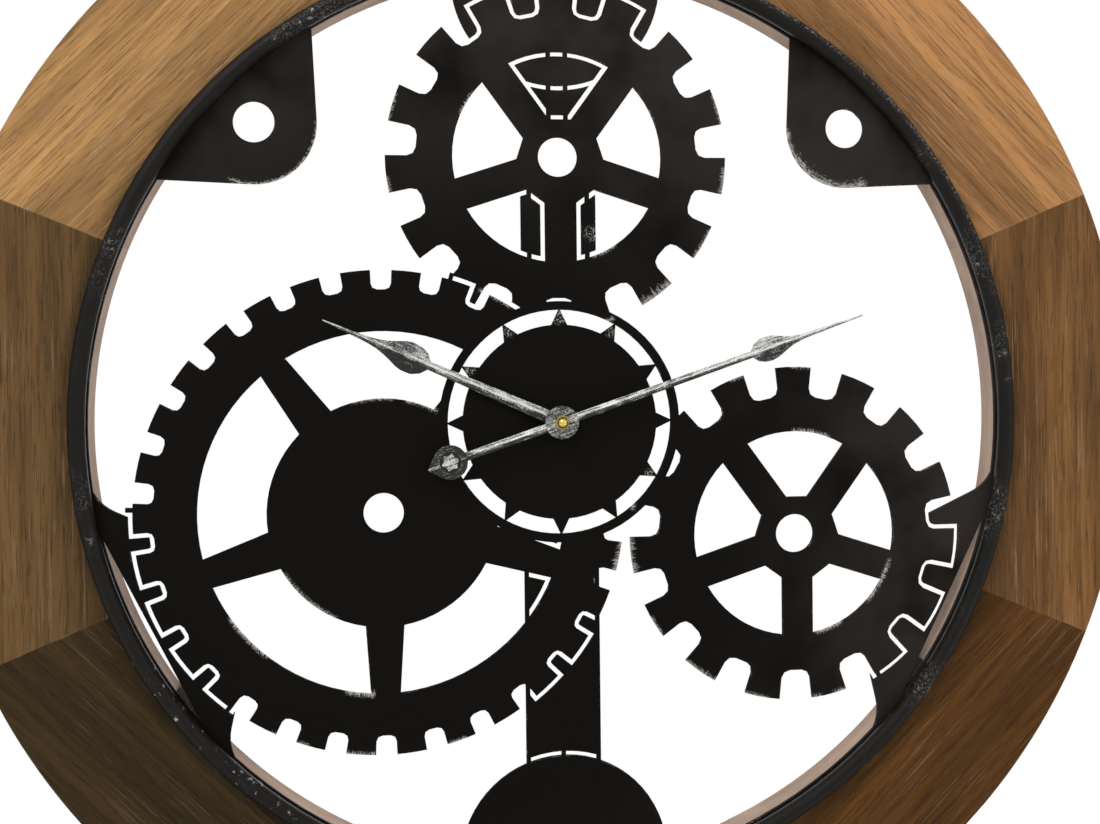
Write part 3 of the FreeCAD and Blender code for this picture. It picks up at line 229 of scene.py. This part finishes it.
# Where the black is rubbed off: an edge's middle and radius, then each spot's direction, reach and depth.
WORN = (
    (TOP_GEAR, PINION_TIP, ((-54, 16, 5.5), (-10, 12, 2.6), (17, 9, 1.6), (-32, 12, 1.8), (192, 9, 2.0),
                            (164, 9, 1.6), (-76, 9, 1.5))),
    (TOP_GEAR, PINION_WINDOW, ((-64, 8, 1.2), (150, 8, 1.0))),
    (RIGHT_GEAR, PINION_TIP, ((-125, 13, 2.4), (-107, 13, 1.8), (-88, 13, 2.6), (-70, 12, 2.0),
                              (187, 13, 3.2), (165, 10, 1.8), (-145, 12, 1.6), (85, 11, 1.5),
                              (108, 9, 1.2))),
    (RIGHT_GEAR, PINION_WINDOW, ((-30, 15, 1.5), (80, 12, 2.0), (-70, 9, 1.4))),
    (LEFT_GEAR, WHEEL_HUB, ((228, 20, 2.0), (70, 10, 1.6), (95, 12, 1.2))),
    (LEFT_GEAR, WHEEL_WINDOW, ((222, 16, 1.4), (262, 9, 2.6))),
    (LEFT_GEAR, WHEEL_TIP, ((265, 16, 2.0), (-12, 14, 3.2), (62, 11, 1.2), (285, 11, 1.4), (247, 12, 1.4))),
    (LUG_LEFT, LUG_CORNER, ((-20, 14, 0.7), (-59, 18, 1.1), (-95, 12, 0.8))),
    (LUG_RIGHT, LUG_CORNER, ((-92, 15, 4.0), (-128, 16, 4.5), (-160, 12, 2.0))),
)
# Changes to a metre in the strokes' pattern: across them, along them, and along those on the lugs.
STROKES, STROKE_DRIFT, LUG_DRIFT = 2300.0, 150.0, 300.0
# How much of the pattern's value is lost over a spot's depth, so that the strokes thin out.
STROKE_FADE = 0.22
# The dust beside the strokes reaches in by a share of their depth and some more, in millimetres.
DUST_SHARE, DUST_MORE = 0.5, 1.2

# Small speckled patches: across and up from the dial's centre, and their reach.
SPECKLED = ((0, 49, 4.5), (-42, 25, 3.5), (-24, 42, 3.5), (24, 42, 3.5), (42, -25, 3.0), (16, 88, 5.0))

# How far each kind of wear goes towards bare steel.
EDGE_WEAR, SPECKLED_WEAR, BRUSHED_WEAR = 0.6, 0.7, 0.85
SHEET_BLACK, SHEET_BROWNISH = shade(10, 8, 6), shade(17, 14, 11)
SHEET_PALER, SHEET_STEEL = shade(46, 42, 39), shade(176, 173, 166)
# The sheet starts turning paler at the first distance from this point, in metres, and is palest at the
# second.
PALING_MIDDLE = (-60, -60)
PALING_START, PALING_END = 0.12, 0.27


def brushed_spots(m, specks, wear):
    """The wear with the spots of WORN added: strokes that thin out away from the edge, and dust."""
    for middle, edge, spots in WORN:
        angle, distance = m.around(on_dial(*middle))
        # On the lugs the strokes follow the edge, and elsewhere they cross it.
        if middle in (LUG_LEFT, LUG_RIGHT):
            place = m.times(angle, edge * MM * LUG_DRIFT), m.times(distance, STROKES)
        else:
            place = m.times(angle, edge * MM * STROKES), m.times(distance, STROKE_DRIFT)
        strokes = m.noise(1.0, 3.0, 0.6, m.node("ShaderNodeCombineXYZ", enumerate(place)).outputs[0])
        inside = m.math("ABSOLUTE", m.minus(distance, edge * MM))
        for degrees, reach, depth in spots:
            left = m.minus(strokes, m.times(inside, STROKE_FADE / (depth * MM)))
            dust = m.times(specks, m.step(inside, (depth * DUST_SHARE + DUST_MORE) * MM, 0.0))
            here = m.near(on_dial(*polar(middle, degrees, edge)), reach * MM)
            brushed = m.either(m.step(left, 0.44, 0.5), dust)
            wear = m.either(wear, m.times(m.step(here, 0.1, 0.5), brushed, BRUSHED_WEAR))
    return wear


def black_sheet():
    """Blackened sheet steel, brushed through to bare metal in patches along its cut edges."""
    m = Recipe("black_sheet")
    close = m.edges(1.2 * MM, high=0.2)
    specks = m.step(m.noise(1500.0, 2.0, 0.6), 0.5, 0.6)
    wear = m.times(close, m.step(m.noise(60.0, 4.0, 0.6), 0.54, 0.66), specks, EDGE_WEAR)
    for across, up, reach in SPECKLED:
        wear = m.either(wear, m.times(m.near(on_dial(across, up), reach * MM), specks, SPECKLED_WEAR))
    wear = brushed_spots(m, specks, wear)
    mottle = m.noise(45.0, 6.0, 0.7)
    # The sheet is paler in cloudy patches the further it is from a point below and left of the dial's
    # centre.
    _, distance = m.around(on_dial(*PALING_MIDDLE))
    paler_patches = m.times(m.step(distance, PALING_START, PALING_END), m.step(m.noise(24.0, 3.0), 0.2, 0.65))
    dark = m.blend(paler_patches, m.blend(mottle, SHEET_BLACK, SHEET_BROWNISH), SHEET_PALER)
    return m.finish(colour=m.blend(wear, dark, SHEET_STEEL), metal=m.times(wear, 0.5), gloss=0.05,
                    rough=m.between(wear, m.between(mottle, 0.55, 0.8), 0.4),
                    normal=m.bump(m.noise(700.0, 4.0, 0.6), 0.06 * MM, 0.5))


# The speckled stretch and the chipped stretch of the hoop: the point and the reach of each.
HOOP_SPECKLED, HOOP_SPECKLED_REACH = (158, 158), 120
HOOP_CHIPPED, HOOP_CHIPPED_REACH = (-158, -158), 90
# The speckles start this share of the bar in from the hoop's outside, and are full this much further out.
OUTSIDE_SHARE, OUTSIDE_FADE = 0.45, 2.5 * MM
BAR_PIT, BAR_SKIN, BAR_STEEL = shade(9, 8, 7), shade(27, 25, 21), shade(158, 155, 148)


def black_bar():
    """The hoop: hammered black bar with silver chips and scuffs."""
    m = Recipe("black_bar")
    pits = m.noise(260.0, 5.0, 0.65)
    scuffs = m.step(m.noise(24.0, 3.0), 0.5, 0.7)
    _, distance = m.around(DIAL)
    outside = HOOP_RADIUS - HOOP_BAR * OUTSIDE_SHARE
    speckled = m.times(m.near(on_dial(*HOOP_SPECKLED), HOOP_SPECKLED_REACH * MM),
                       m.step(distance, outside, outside + OUTSIDE_FADE))
    chipped = m.near(on_dial(*HOOP_CHIPPED), HOOP_CHIPPED_REACH * MM)
    specks = m.times(m.step(m.noise(900.0, 3.0, 0.7), 0.5, 0.62), m.either(m.times(scuffs, 0.5), speckled))
    chips = m.times(m.step(m.noise(240.0, 5.0, 0.7), 0.6, 0.66), m.either(scuffs, chipped))
    wear = m.either(m.times(specks, 0.6), chips)
    return m.finish(colour=m.blend(wear, m.blend(pits, BAR_PIT, BAR_SKIN), BAR_STEEL),
                    rough=m.between(pits, 0.32, 0.55), metal=m.times(wear, 0.5), gloss=0.12,
                    normal=m.bump(pits, 0.25 * MM, 0.6, m.soft(2.5 * MM)))


# The colour of each board, clockwise from the top, lighter at the top and darker towards the bottom, and the
# bare wood under it.
BOARD_TONES = ((132, 98, 60), (150, 108, 68), (108, 76, 44), (78, 50, 21), (64, 45, 23), (50, 38, 21),
          (88, 66, 40), (164, 124, 78))
BOARD_TURN = 360 / len(BOARD_TONES)
PALE_WOOD = (192, 166, 148)
# Each board takes its grain from another place of the pattern, this far on along each axis.
NEXT_BOARD = (3.1, 1.7, 2.3)
LIGHT_SHARE, DARK_SHARE, DEEP_SHARE = 1.3, 0.86, 0.56
# How far out from the hoop the painted shade on the wood reaches.
HOOP_SHADE_WIDTH = 9 * MM
# A worn spot mixes these shares of the board's colour and the bare wood.
WORN_TONE, WORN_PALE = 0.55, 0.5
# A board at least as red as this shows its scratches in full, and a darker one shows them less.
SCRATCHED_RED = 160


def inner_wall(m):
    """1 on the walls that face the dial's axis, and 0 elsewhere."""
    inward = m.vector("MULTIPLY", m.vector("SUBTRACT", DIAL, m.spot), (1.0, 0.0, 1.0))
    return m.step(m.towards(m.vector("NORMALIZE", inward)), 0.6, 0.8)


def stained_board(name, degrees, board_tone, number):
    """A brown stained board whose grain runs along its own length, with bare wood on its inner edge."""
    m = Recipe(name)
    along = m.turned(degrees, (1.0, 1.0, 1.0))
    place = m.vector("ADD", along, tuple(number * step for step in NEXT_BOARD))

    def streaks(detail, roughness, *stretch):
        return m.noise(1.0, detail, roughness, m.vector("MULTIPLY", place, stretch))

    bands = streaks(2.0, 0.5, 2.5, 9.0, 34.0)
    grain = streaks(6.0, 0.66, 7.0, 60.0, 130.0)
    pores = m.step(streaks(3.0, 0.6, 60.0, 900.0, 1400.0), 0.55, 0.68)
    lines = streaks(4.0, 0.65, 14.0, 200.0, 520.0)
    light, dark, deep = (toned(board_tone, share) for share in (LIGHT_SHARE, DARK_SHARE, DEEP_SHARE))
    body = m.blend(m.step(m.plus(m.times(bands, 0.5), m.times(grain, 0.5)), 0.36, 0.64), dark, light)
    body = m.blend(m.times(m.step(lines, 0.5, 0.64), 0.6), body, dark)
    body = m.blend(m.times(m.step(lines, 0.44, 0.34), 0.45), body, light)
    body = m.blend(m.times(pores, 0.55), body, deep)

    _, distance = m.around(DIAL)
    # Painted shade on the wood beside the hoop, in cloudy patches, darkest against the bar.
    beside_hoop = m.step(distance, HOOP_RADIUS + HOOP_SHADE_WIDTH, HOOP_RADIUS)
    hoop_shade = m.times(beside_hoop, m.step(m.noise(90.0, 4.0), 0.2, 0.7))
    body = m.blend(m.times(hoop_shade, 0.7), body, deep)

    scratch = m.step(streaks(4.0, 0.7, 22.0, 420.0, 900.0), 0.57, 0.64)
    shown = min(board_tone[0] / SCRATCHED_RED, 1) * 0.85
    scratch = m.times(scratch, m.step(m.noise(20.0, 3.0), 0.38, 0.56), shown)
    wear_and_painted_light = m.times(m.edges(1.8 * MM), m.step(m.noise(40.0, 4.0), 0.4, 0.6), 0.6)
    worn = shade(*(c * WORN_TONE + pale * WORN_PALE for c, pale in zip(board_tone, PALE_WOOD)))
    colour = m.blend(m.either(scratch, wear_and_painted_light), body, worn)
    bare = m.blend(m.step(grain, 0.3, 0.7), toned(PALE_WOOD, 0.86), shade(*PALE_WOOD))
    height = m.plus(m.times(grain, 0.6), m.times(pores, -0.4))
    return m.finish(colour=m.blend(inner_wall(m), colour, bare), rough=m.between(grain, 0.8, 0.62),
                    gloss=0.1, normal=m.bump(height, 0.4 * MM, 0.8))


# The hands' directions at rest, anticlockwise from the right, and how far from the axis each spade starts.
HOUR_ANGLE, MINUTE_ANGLE = 156.1, 18.7
HOUR_SPADE, MINUTE_SPADE = 66.5 * MM, 95.5 * MM
SPADE_FADE = 3 * MM
# How much darker each spade is than the rest of its hand.
HOUR_DARKER, MINUTE_DARKER = 0.03, -0.01
# The minute hand's tail: how far its disc is from the axis, and the radius of the recess in the disc.
TAIL_DISTANCE, TAIL_RECESS = 54.6 * MM, 5.2 * MM
# The disc darkens from the first distance from its middle, and is darkest from the second inwards.
TAIL_DARK_START, TAIL_DARK_END = 13 * MM, 8 * MM
# The recess counts as sunk from the first depth behind the tail's front, and wholly from the second.
SUNK_START, SUNK_END = 0.12 * MM, 0.25 * MM
HAND_BLACK, HAND_SILVER = shade(34, 34, 33), shade(206, 206, 201)
# Streaks are long along the blade and fine across it.
BLADE_STREAKS = (150, 1900, 1900)


def rubbed_tail(m, wear_and_painted_light, tail):
    """How rubbed the tail's disc is: a bright star on a black sunk floor, in a slightly darker disc."""
    _, depth, _ = m.node("ShaderNodeSeparateXYZ", {0: m.spot}).outputs
    sunk = m.step(depth, tail.y + SUNK_START, tail.y + SUNK_END)
    _, apart = m.around(tail)
    in_recess = m.step(apart, TAIL_RECESS * 1.05, TAIL_RECESS * 0.98)
    disc = m.step(apart, TAIL_DARK_START, TAIL_DARK_END)
    wear_and_painted_light = m.plus(wear_and_painted_light, m.minus(m.times(in_recess, 0.12), m.times(disc, 0.06)))
    return m.minus(wear_and_painted_light, m.times(in_recess, sunk, 0.45))


def antique_metal(name, degrees, spade_start, spade_darker, tail=None):
    """A hand: pressed metal, silver rubbed through black, with streaks along the blade at that angle,
    painted shade on its lower flank and a painted highlight along its ridge.
    """
    m = Recipe(name)
    specks = m.noise(2300.0, 2.0, 0.6)
    cloudy = m.noise(90.0, 4.0, 0.6)
    streaks = m.noise(1.0, 3.0, 0.6, m.turned(degrees, BLADE_STREAKS))
    turn = math.radians(degrees)
    upward = Vector((-math.sin(turn), 0.0, math.cos(turn))) * (1 if math.cos(turn) > 0 else -1)
    # Painted shade: the flank that faces down is darker, and the flank that faces up is a little lighter.
    painted_flank_shade = m.between(m.step(m.towards(upward), -0.1, 0.1), -0.085, 0.02)
    # A painted highlight along the blade's middle line, where its ridge runs.
    aside = m.measure("DOT_PRODUCT", m.vector("SUBTRACT", m.spot, DIAL), upward)
    painted_ridge_highlight = m.times(m.step(m.math("ABSOLUTE", aside), 1.3 * MM, 0.4 * MM), 0.06)
    # The rubbed wear, with the painted shade on the lower flank and the painted highlight on the ridge added
    # to it.
    wear_and_painted_light = m.plus(m.plus(m.times(specks, 0.4), m.times(cloudy, 0.2)),
                    m.plus(m.times(streaks, 0.4), m.plus(painted_flank_shade, painted_ridge_highlight)))
    _, distance = m.around(DIAL)
    on_spade = m.step(distance, spade_start - SPADE_FADE, spade_start + SPADE_FADE)
    wear_and_painted_light = m.minus(wear_and_painted_light, m.times(on_spade, spade_darker))
    if tail:
        wear_and_painted_light = rubbed_tail(m, wear_and_painted_light, tail)
    bright = m.step(wear_and_painted_light, 0.43, 0.61)
    return m.finish(colour=m.blend(bright, HAND_BLACK, HAND_SILVER), rough=m.between(bright, 0.6, 0.4),
                    metal=m.between(bright, 0.2, 0.7), gloss=0.25,
                    normal=m.bump(m.plus(specks, streaks), 0.15 * MM, 0.7))


# Turned marks are fine along the depth axis.
TURNING_MARKS = (300.0, 1800.0, 300.0)


def plain_metal(name, colour, rough, metal=0.95):
    """Machined or plated metal with a faint turned texture and a painted highlight along its edges."""
    m = Recipe(name)
    lines = m.noise(1.0, 3.0, 0.6, m.turned(0, TURNING_MARKS))
    tint = m.blend(lines, toned(colour, 0.82), shade(*colour))
    # A painted highlight along the edges.
    tint = m.blend(m.times(m.edges(0.4 * MM), 0.4), tint, toned(colour, 1.25))
    return m.finish(colour=tint, rough=m.between(lines, rough + 0.1, rough - 0.05), metal=metal,
                    normal=m.bump(lines, 0.03 * MM, 0.4))


# A painted highlight makes an edge lighter by the first value, and no lighter than the second.
EDGE_HIGHLIGHT_LIGHTER, EDGE_HIGHLIGHT_LIGHTEST = 40, 245


def moulded(name, colour, rough, gloss=0.35):
    """Moulded plastic or rubber with a fine spark texture and a painted highlight along its edges."""
    m = Recipe(name)
    spark = m.noise(1500.0, 2.0)
    tint = m.blend(m.noise(60.0, 3.0), toned(colour, 0.9), toned(colour, 1.08))
    wear_and_painted_light = shade(*(min(c + EDGE_HIGHLIGHT_LIGHTER, EDGE_HIGHLIGHT_LIGHTEST) for c in colour))
    # A painted highlight along the edges.
    tint = m.blend(m.times(m.edges(0.5 * MM), 0.25), tint, wear_and_painted_light)
    return m.finish(colour=tint, rough=m.between(spark, rough - 0.05, rough + 0.12), gloss=gloss,
                    normal=m.bump(spark, 0.03 * MM, 0.5))


COPPER_DARK, COPPER_BRIGHT = shade(96, 44, 20), shade(190, 104, 58)


def wound_copper():
    """The coil's wire, as fine bands around the winding."""
    m = Recipe("wound_copper")
    turns = m.node("ShaderNodeTexWave", {"Vector": m.spot, "Scale": 1400.0, "Distortion": 0.2},
                   bands_direction="X").outputs[0]
    return m.finish(colour=m.blend(turns, COPPER_DARK, COPPER_BRIGHT), rough=0.32, metal=0.9,
                    normal=m.bump(turns, 0.1 * MM, 0.8))


def dress(material, *nodes):
    """Give CAD nodes a material in place of their plain one."""
    for name in nodes:
        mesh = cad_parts[name].data
        mesh.materials.clear()
        mesh.materials.append(material)


def link(made):
    """Put an object in the scene."""
    bpy.context.scene.collection.objects.link(made)


WELD = 0.002 * MM
SHARP_ANGLE = math.radians(40)
# A ring wider than this share of the piece's foot is fluted.
FLUTED_SHARE = 0.9


def lathe(name, profile, start, axis, material, body, steps=64, flutes=0, groove=0.0):
    """A piece turned about an axis: its profile is pairs of a radius and a distance from the start."""
    shape = bmesh.new()
    side = axis.orthogonal().normalized()
    across = axis.cross(side)
    foot, _ = profile[1]
    rings = []
    for radius, along in profile:
        fluted = flutes and radius > FLUTED_SHARE * foot
        ring = []
        for step in range(steps):
            turn = 2 * math.pi * step / steps
            dent = groove * (1 - math.cos(turn * flutes)) / 2 if fluted else 0
            outward = side * math.cos(turn) + across * math.sin(turn)
            ring.append(shape.verts.new(start + axis * along + outward * max(radius - dent, 0.0)))
        rings.append(ring)
    for low, high in zip(rings, rings[1:]):
        for n in range(steps):
            shape.faces.new((low[n], low[n - 1], high[n - 1], high[n]))
    bmesh.ops.remove_doubles(shape, verts=shape.verts, dist=WELD)
    bmesh.ops.recalc_face_normals(shape, faces=shape.faces)
    for face in shape.faces:
        face.smooth = True
    mesh = bpy.data.meshes.new(name)
    shape.to_mesh(mesh)
    shape.free()
    mesh.set_sharp_from_angle(angle=SHARP_ANGLE)
    mesh.materials.append(material)
    piece = bpy.data.objects.new(name, mesh)
    link(piece)
    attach(piece, body)
    return piece


DOME_STEPS = 14


def cap_nut(material):
    """The domed brass nut over the hands, with a finely knurled skirt."""
    low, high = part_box("cap_nut")
    radius, height = (high.x - low.x) / 2, high.y - low.y
    skirt = height * 0.3
    bevel_start, bevel_radius, dome_radius = skirt * 0.75, radius * 0.93, radius * 0.86
    profile = [(0, 0), (radius, 0), (radius, bevel_start), (bevel_radius, skirt)]
    for n in range(DOME_STEPS + 1):
        bend = math.pi / 2 * n / DOME_STEPS
        profile.append((dome_radius * math.cos(bend), skirt + (height - skirt) * math.sin(bend)))
    start = Vector((DIAL.x, high.y, DIAL.z))
    piece = lathe("brass_dome", profile, start, Vector((0, -1, 0)), material, "minute",
                  steps=96, flutes=24, groove=radius * 0.05)
    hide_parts("cap_nut")


def battery(can, wrap):
    """The cell: a metal can with a stud at one end, in a shrunk sleeve."""
    low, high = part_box("battery_cell")
    radius, length = (high.z - low.z) / 2, high.x - low.x
    start = Vector((low.x, (low.y + high.y) / 2, (low.z + high.z) / 2))
    inner, base, shoulder = radius * 0.985, radius * 0.72, radius * 0.8
    stud_foot, stud, stud_top = radius * 0.42, radius * 0.38, radius * 0.3
    metal = [(0, 0), (base, 0), (base, 0.3 * MM), (inner, 0.6 * MM), (inner, length - 1.9 * MM),
             (shoulder, length - 1.3 * MM), (stud_foot, length - 1.2 * MM), (stud, length - 0.3 * MM),
             (stud_top, length), (0, length)]
    sleeve = [(radius * 0.86, 0.45 * MM), (radius * 0.97, 0.5 * MM), (radius, 1.1 * MM),
              (radius, length - 2.2 * MM), (radius * 0.96, length - 1.6 * MM),
              (radius * 0.84, length - 1.4 * MM)]
    pieces = [lathe("cell_can", metal, start, Vector((1, 0, 0)), can, "battery"),
              lathe("cell_sleeve", sleeve, start, Vector((1, 0, 0)), wrap, "battery")]
    for piece in pieces:
        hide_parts("battery_cell")


def setting_knob(material):
    """The ribbed knob at the back that sets the hands, with a dished top."""
    low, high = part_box("setting_knob")
    radius, height = (high.x - low.x) / 2, high.y - low.y
    start = Vector(((low.x + high.x) / 2, low.y, (low.z + high.z) / 2))
    rim = height * 0.8
    profile = [(0, 0), (radius, 0), (radius, rim), (radius * 0.9, height), (radius * 0.55, height),
               (radius * 0.5, rim), (0, rim)]
    piece = lathe("knob_grip", profile, start, Vector((0, 1, 0)), material, "works",
                  steps=120, flutes=30, groove=radius * 0.06)
    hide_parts("setting_knob")


def clothe():
    """Give every CAD node its material, and make the pieces that stand for some of them."""
    dress(black_sheet(), "gear_plate")
    dress(black_bar(), "inner_hoop")
    for number in range(1, len(BOARD_TONES) + 1):
        board = f"wood_board_{number}"
        middle = sum(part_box(board), Vector()) / 2 - DIAL
        clockwise = math.degrees(math.atan2(middle.x, middle.z))
        board_tone = BOARD_TONES[round(clockwise / BOARD_TURN) % len(BOARD_TONES)]
        dress(stained_board(f"stained_{board}", -clockwise, board_tone, number), board)
    dress(plain_metal("strap_steel", (58, 57, 56), 0.5, metal=0.6), "hanger_strap", "strap_upper_right",
          "strap_upper_left", "strap_lower_left", "strap_lower_right", "strap_bottom")
    dress(plain_metal("zinc_steel", (168, 170, 172), 0.34), "strap_screws", "contact_plus", "contact_minus")
    dress(moulded("bumper_rubber", (34, 33, 32), 0.7, gloss=0.25), "wall_bumpers", "rubber_washer")

    dress(antique_metal("hour_silver", HOUR_ANGLE, HOUR_SPADE, HOUR_DARKER), "hour_hand")
    turn = math.radians(MINUTE_ANGLE)
    tail = Vector((DIAL.x - TAIL_DISTANCE * math.cos(turn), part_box("minute_hand")[0].y,
                   DIAL.z - TAIL_DISTANCE * math.sin(turn)))
    dress(antique_metal("minute_silver", MINUTE_ANGLE, MINUTE_SPADE, MINUTE_DARKER, tail), "minute_hand")
    brass = plain_metal("turned_brass", (214, 186, 106), 0.2)
    dress(brass, "cap_nut", "hex_nut", "brass_washer", "centre_bush", "minute_arbor")
    cap_nut(brass)

    case_plastic = moulded("case_plastic", (30, 30, 31), 0.45)
    dress(case_plastic, "movement_case", "movement_cover", "setting_knob")
    setting_knob(case_plastic)
    dress(moulded("white_nylon", (214, 212, 204), 0.4), "hour_wheel", "works_wheel", "centre_wheel",
          "third_wheel", "second_wheel", "intermediate_wheel")
    dress(plain_metal("rotor_magnet", (90, 90, 94), 0.3), "rotor")
    dress(plain_metal("stator_iron", (150, 150, 152), 0.3), "stator")
    dress(wound_copper(), "coil")
    dress(moulded("board_resin", (30, 92, 52), 0.35), "circuit_board")
    jacket = moulded("cell_jacket", (58, 104, 132), 0.3)
    dress(jacket, "battery_cell")
    battery(plain_metal("cell_can", (176, 176, 174), 0.3), jacket)


def background(tree):
    """1 where the eye or a reflection looks, and 0 where surfaces gather their light."""
    path = tree.nodes.new("ShaderNodeLightPath")
    seen = path.outputs["Is Camera Ray"]
    for name in ("Is Glossy Ray", "Is Transmission Ray"):
        both = tree.nodes.new("ShaderNodeMath")
        both.operation = "MAXIMUM"
        tree.links.new(seen, both.inputs[0])
        tree.links.new(path.outputs[name], both.inputs[1])
        seen = both.outputs[0]
    return seen


SKY_LIGHT = 0.55


def sky():
    """A world that lights the clock evenly and looks plain white."""
    world = bpy.data.worlds.new("studio")
    bpy.context.scene.world = world
    world.use_nodes = True
    tree = world.node_tree
    light = tree.nodes["Background"]
    light.inputs["Color"].default_value = WHITE
    level = tree.nodes.new("ShaderNodeMapRange")
    level.inputs["To Min"].default_value = SKY_LIGHT
    tree.links.new(background(tree), level.inputs["Value"])
    tree.links.new(level.outputs[0], light.inputs["Strength"])


FLOOR_DROP = 0.35
FLOOR_SIZE = 2.8
FLOOR_DARK, FLOOR_LIGHT = (0.84, 0.84, 0.84, 1), (0.88, 0.88, 0.88, 1)
# The floor glows a little in the middle, and from the first distance to the second it fades to plain white.
FLOOR_GLOW = 0.2
FADE_START, FADE_END = 0.5, 1.2


def shadow_floor():
    """A pale floor under the clock that shows its shadow and has no visible edge."""
    bpy.ops.mesh.primitive_plane_add(size=FLOOR_SIZE, location=(DIAL.x, DIAL.y, LOW.z - FLOOR_DROP))
    floor = bpy.context.object
    floor.name = "floor"
    m = Recipe("floor")
    colour = m.blend(m.noise(4.0, 4.0), FLOOR_DARK, FLOOR_LIGHT)
    fade = m.between(m.step(m.measure("LENGTH", m.spot), FADE_START, FADE_END), FLOOR_GLOW, 1.0)
    pale = m.finish(colour=colour, rough=0.9, gloss=0.1, glow_colour=WHITE,
                    glow=m.times(background(m.tree), fade))
    floor.data.materials.append(pale)


# Each lamp's name, power in watts, size in metres, and degrees round to the right from the front and up.
LAMPS = (("key", 22.0, 1.4, -35, 40), ("fill", 8.0, 1.8, 45, 15), ("rear", 8.0, 1.4, 160, 35))
LAMP_DISTANCE = 2.2


def lamp(name, power, size, azimuth, elevation):
    """A square lamp that looks at the dial from that direction."""
    light = bpy.data.lights.new(name, "AREA")
    light.energy, light.size = power, size
    lamp_object = bpy.data.objects.new(name, light)
    turn, rise = math.radians(azimuth), math.radians(elevation)
    away = Vector((math.sin(turn) * math.cos(rise), -math.cos(turn) * math.cos(rise), math.sin(rise)))
    lamp_object.location = DIAL + away * LAMP_DISTANCE
    lamp_object.rotation_mode = "QUATERNION"
    lamp_object.rotation_quaternion = (-away).to_track_quat("-Z", "Y")
    link(lamp_object)


# The photo's width and focal length in its own pixels.
IMAGE_WIDTH = 1100
FOCAL_PIXELS = 1502.9
# The other views keep the shift, so it is held small.
SHIFT_RIGHT_PIXELS, SHIFT_DOWN_PIXELS = 60, -30
# The camera's place is counted from the plate's front at the dial's centre, in metres.
CAMERA_AWAY, CAMERA_SIDE, CAMERA_RISE = 0.7, -0.0763, 0.0307
LOOK_YAW, LOOK_PITCH, LOOK_ROLL = (math.radians(v) for v in (8.128, -0.998, -0.587))
CLIP_START = 0.01


def camera():
    """The camera at the photo's viewing angle."""
    data = bpy.data.cameras.new("photo")
    data.lens = data.sensor_width * FOCAL_PIXELS / IMAGE_WIDTH
    data.shift_x = -SHIFT_RIGHT_PIXELS / IMAGE_WIDTH
    data.shift_y = SHIFT_DOWN_PIXELS / IMAGE_WIDTH
    data.clip_start = CLIP_START
    eye = bpy.data.objects.new("photo", data)
    flat = math.cos(LOOK_PITCH)
    ahead = Vector((math.sin(LOOK_YAW) * flat, math.cos(LOOK_YAW) * flat, math.sin(LOOK_PITCH)))
    level = Vector((math.cos(LOOK_YAW), -math.sin(LOOK_YAW), 0))
    above = level.cross(ahead)
    right = level * math.cos(LOOK_ROLL) + above * math.sin(LOOK_ROLL)
    up = above * math.cos(LOOK_ROLL) - level * math.sin(LOOK_ROLL)
    place = Vector((DIAL.x + CAMERA_SIDE, PLATE_FRONT - CAMERA_AWAY, DIAL.z + CAMERA_RISE))
    eye.matrix_world = Matrix.Translation(place) @ Matrix((right, up, -ahead)).transposed().to_4x4()
    link(eye)
    bpy.context.scene.camera = eye


clothe()
sky()
shadow_floor()
for settings in LAMPS:
    lamp(*settings)
camera()
bpy.context.scene.view_settings.view_transform = "Standard"
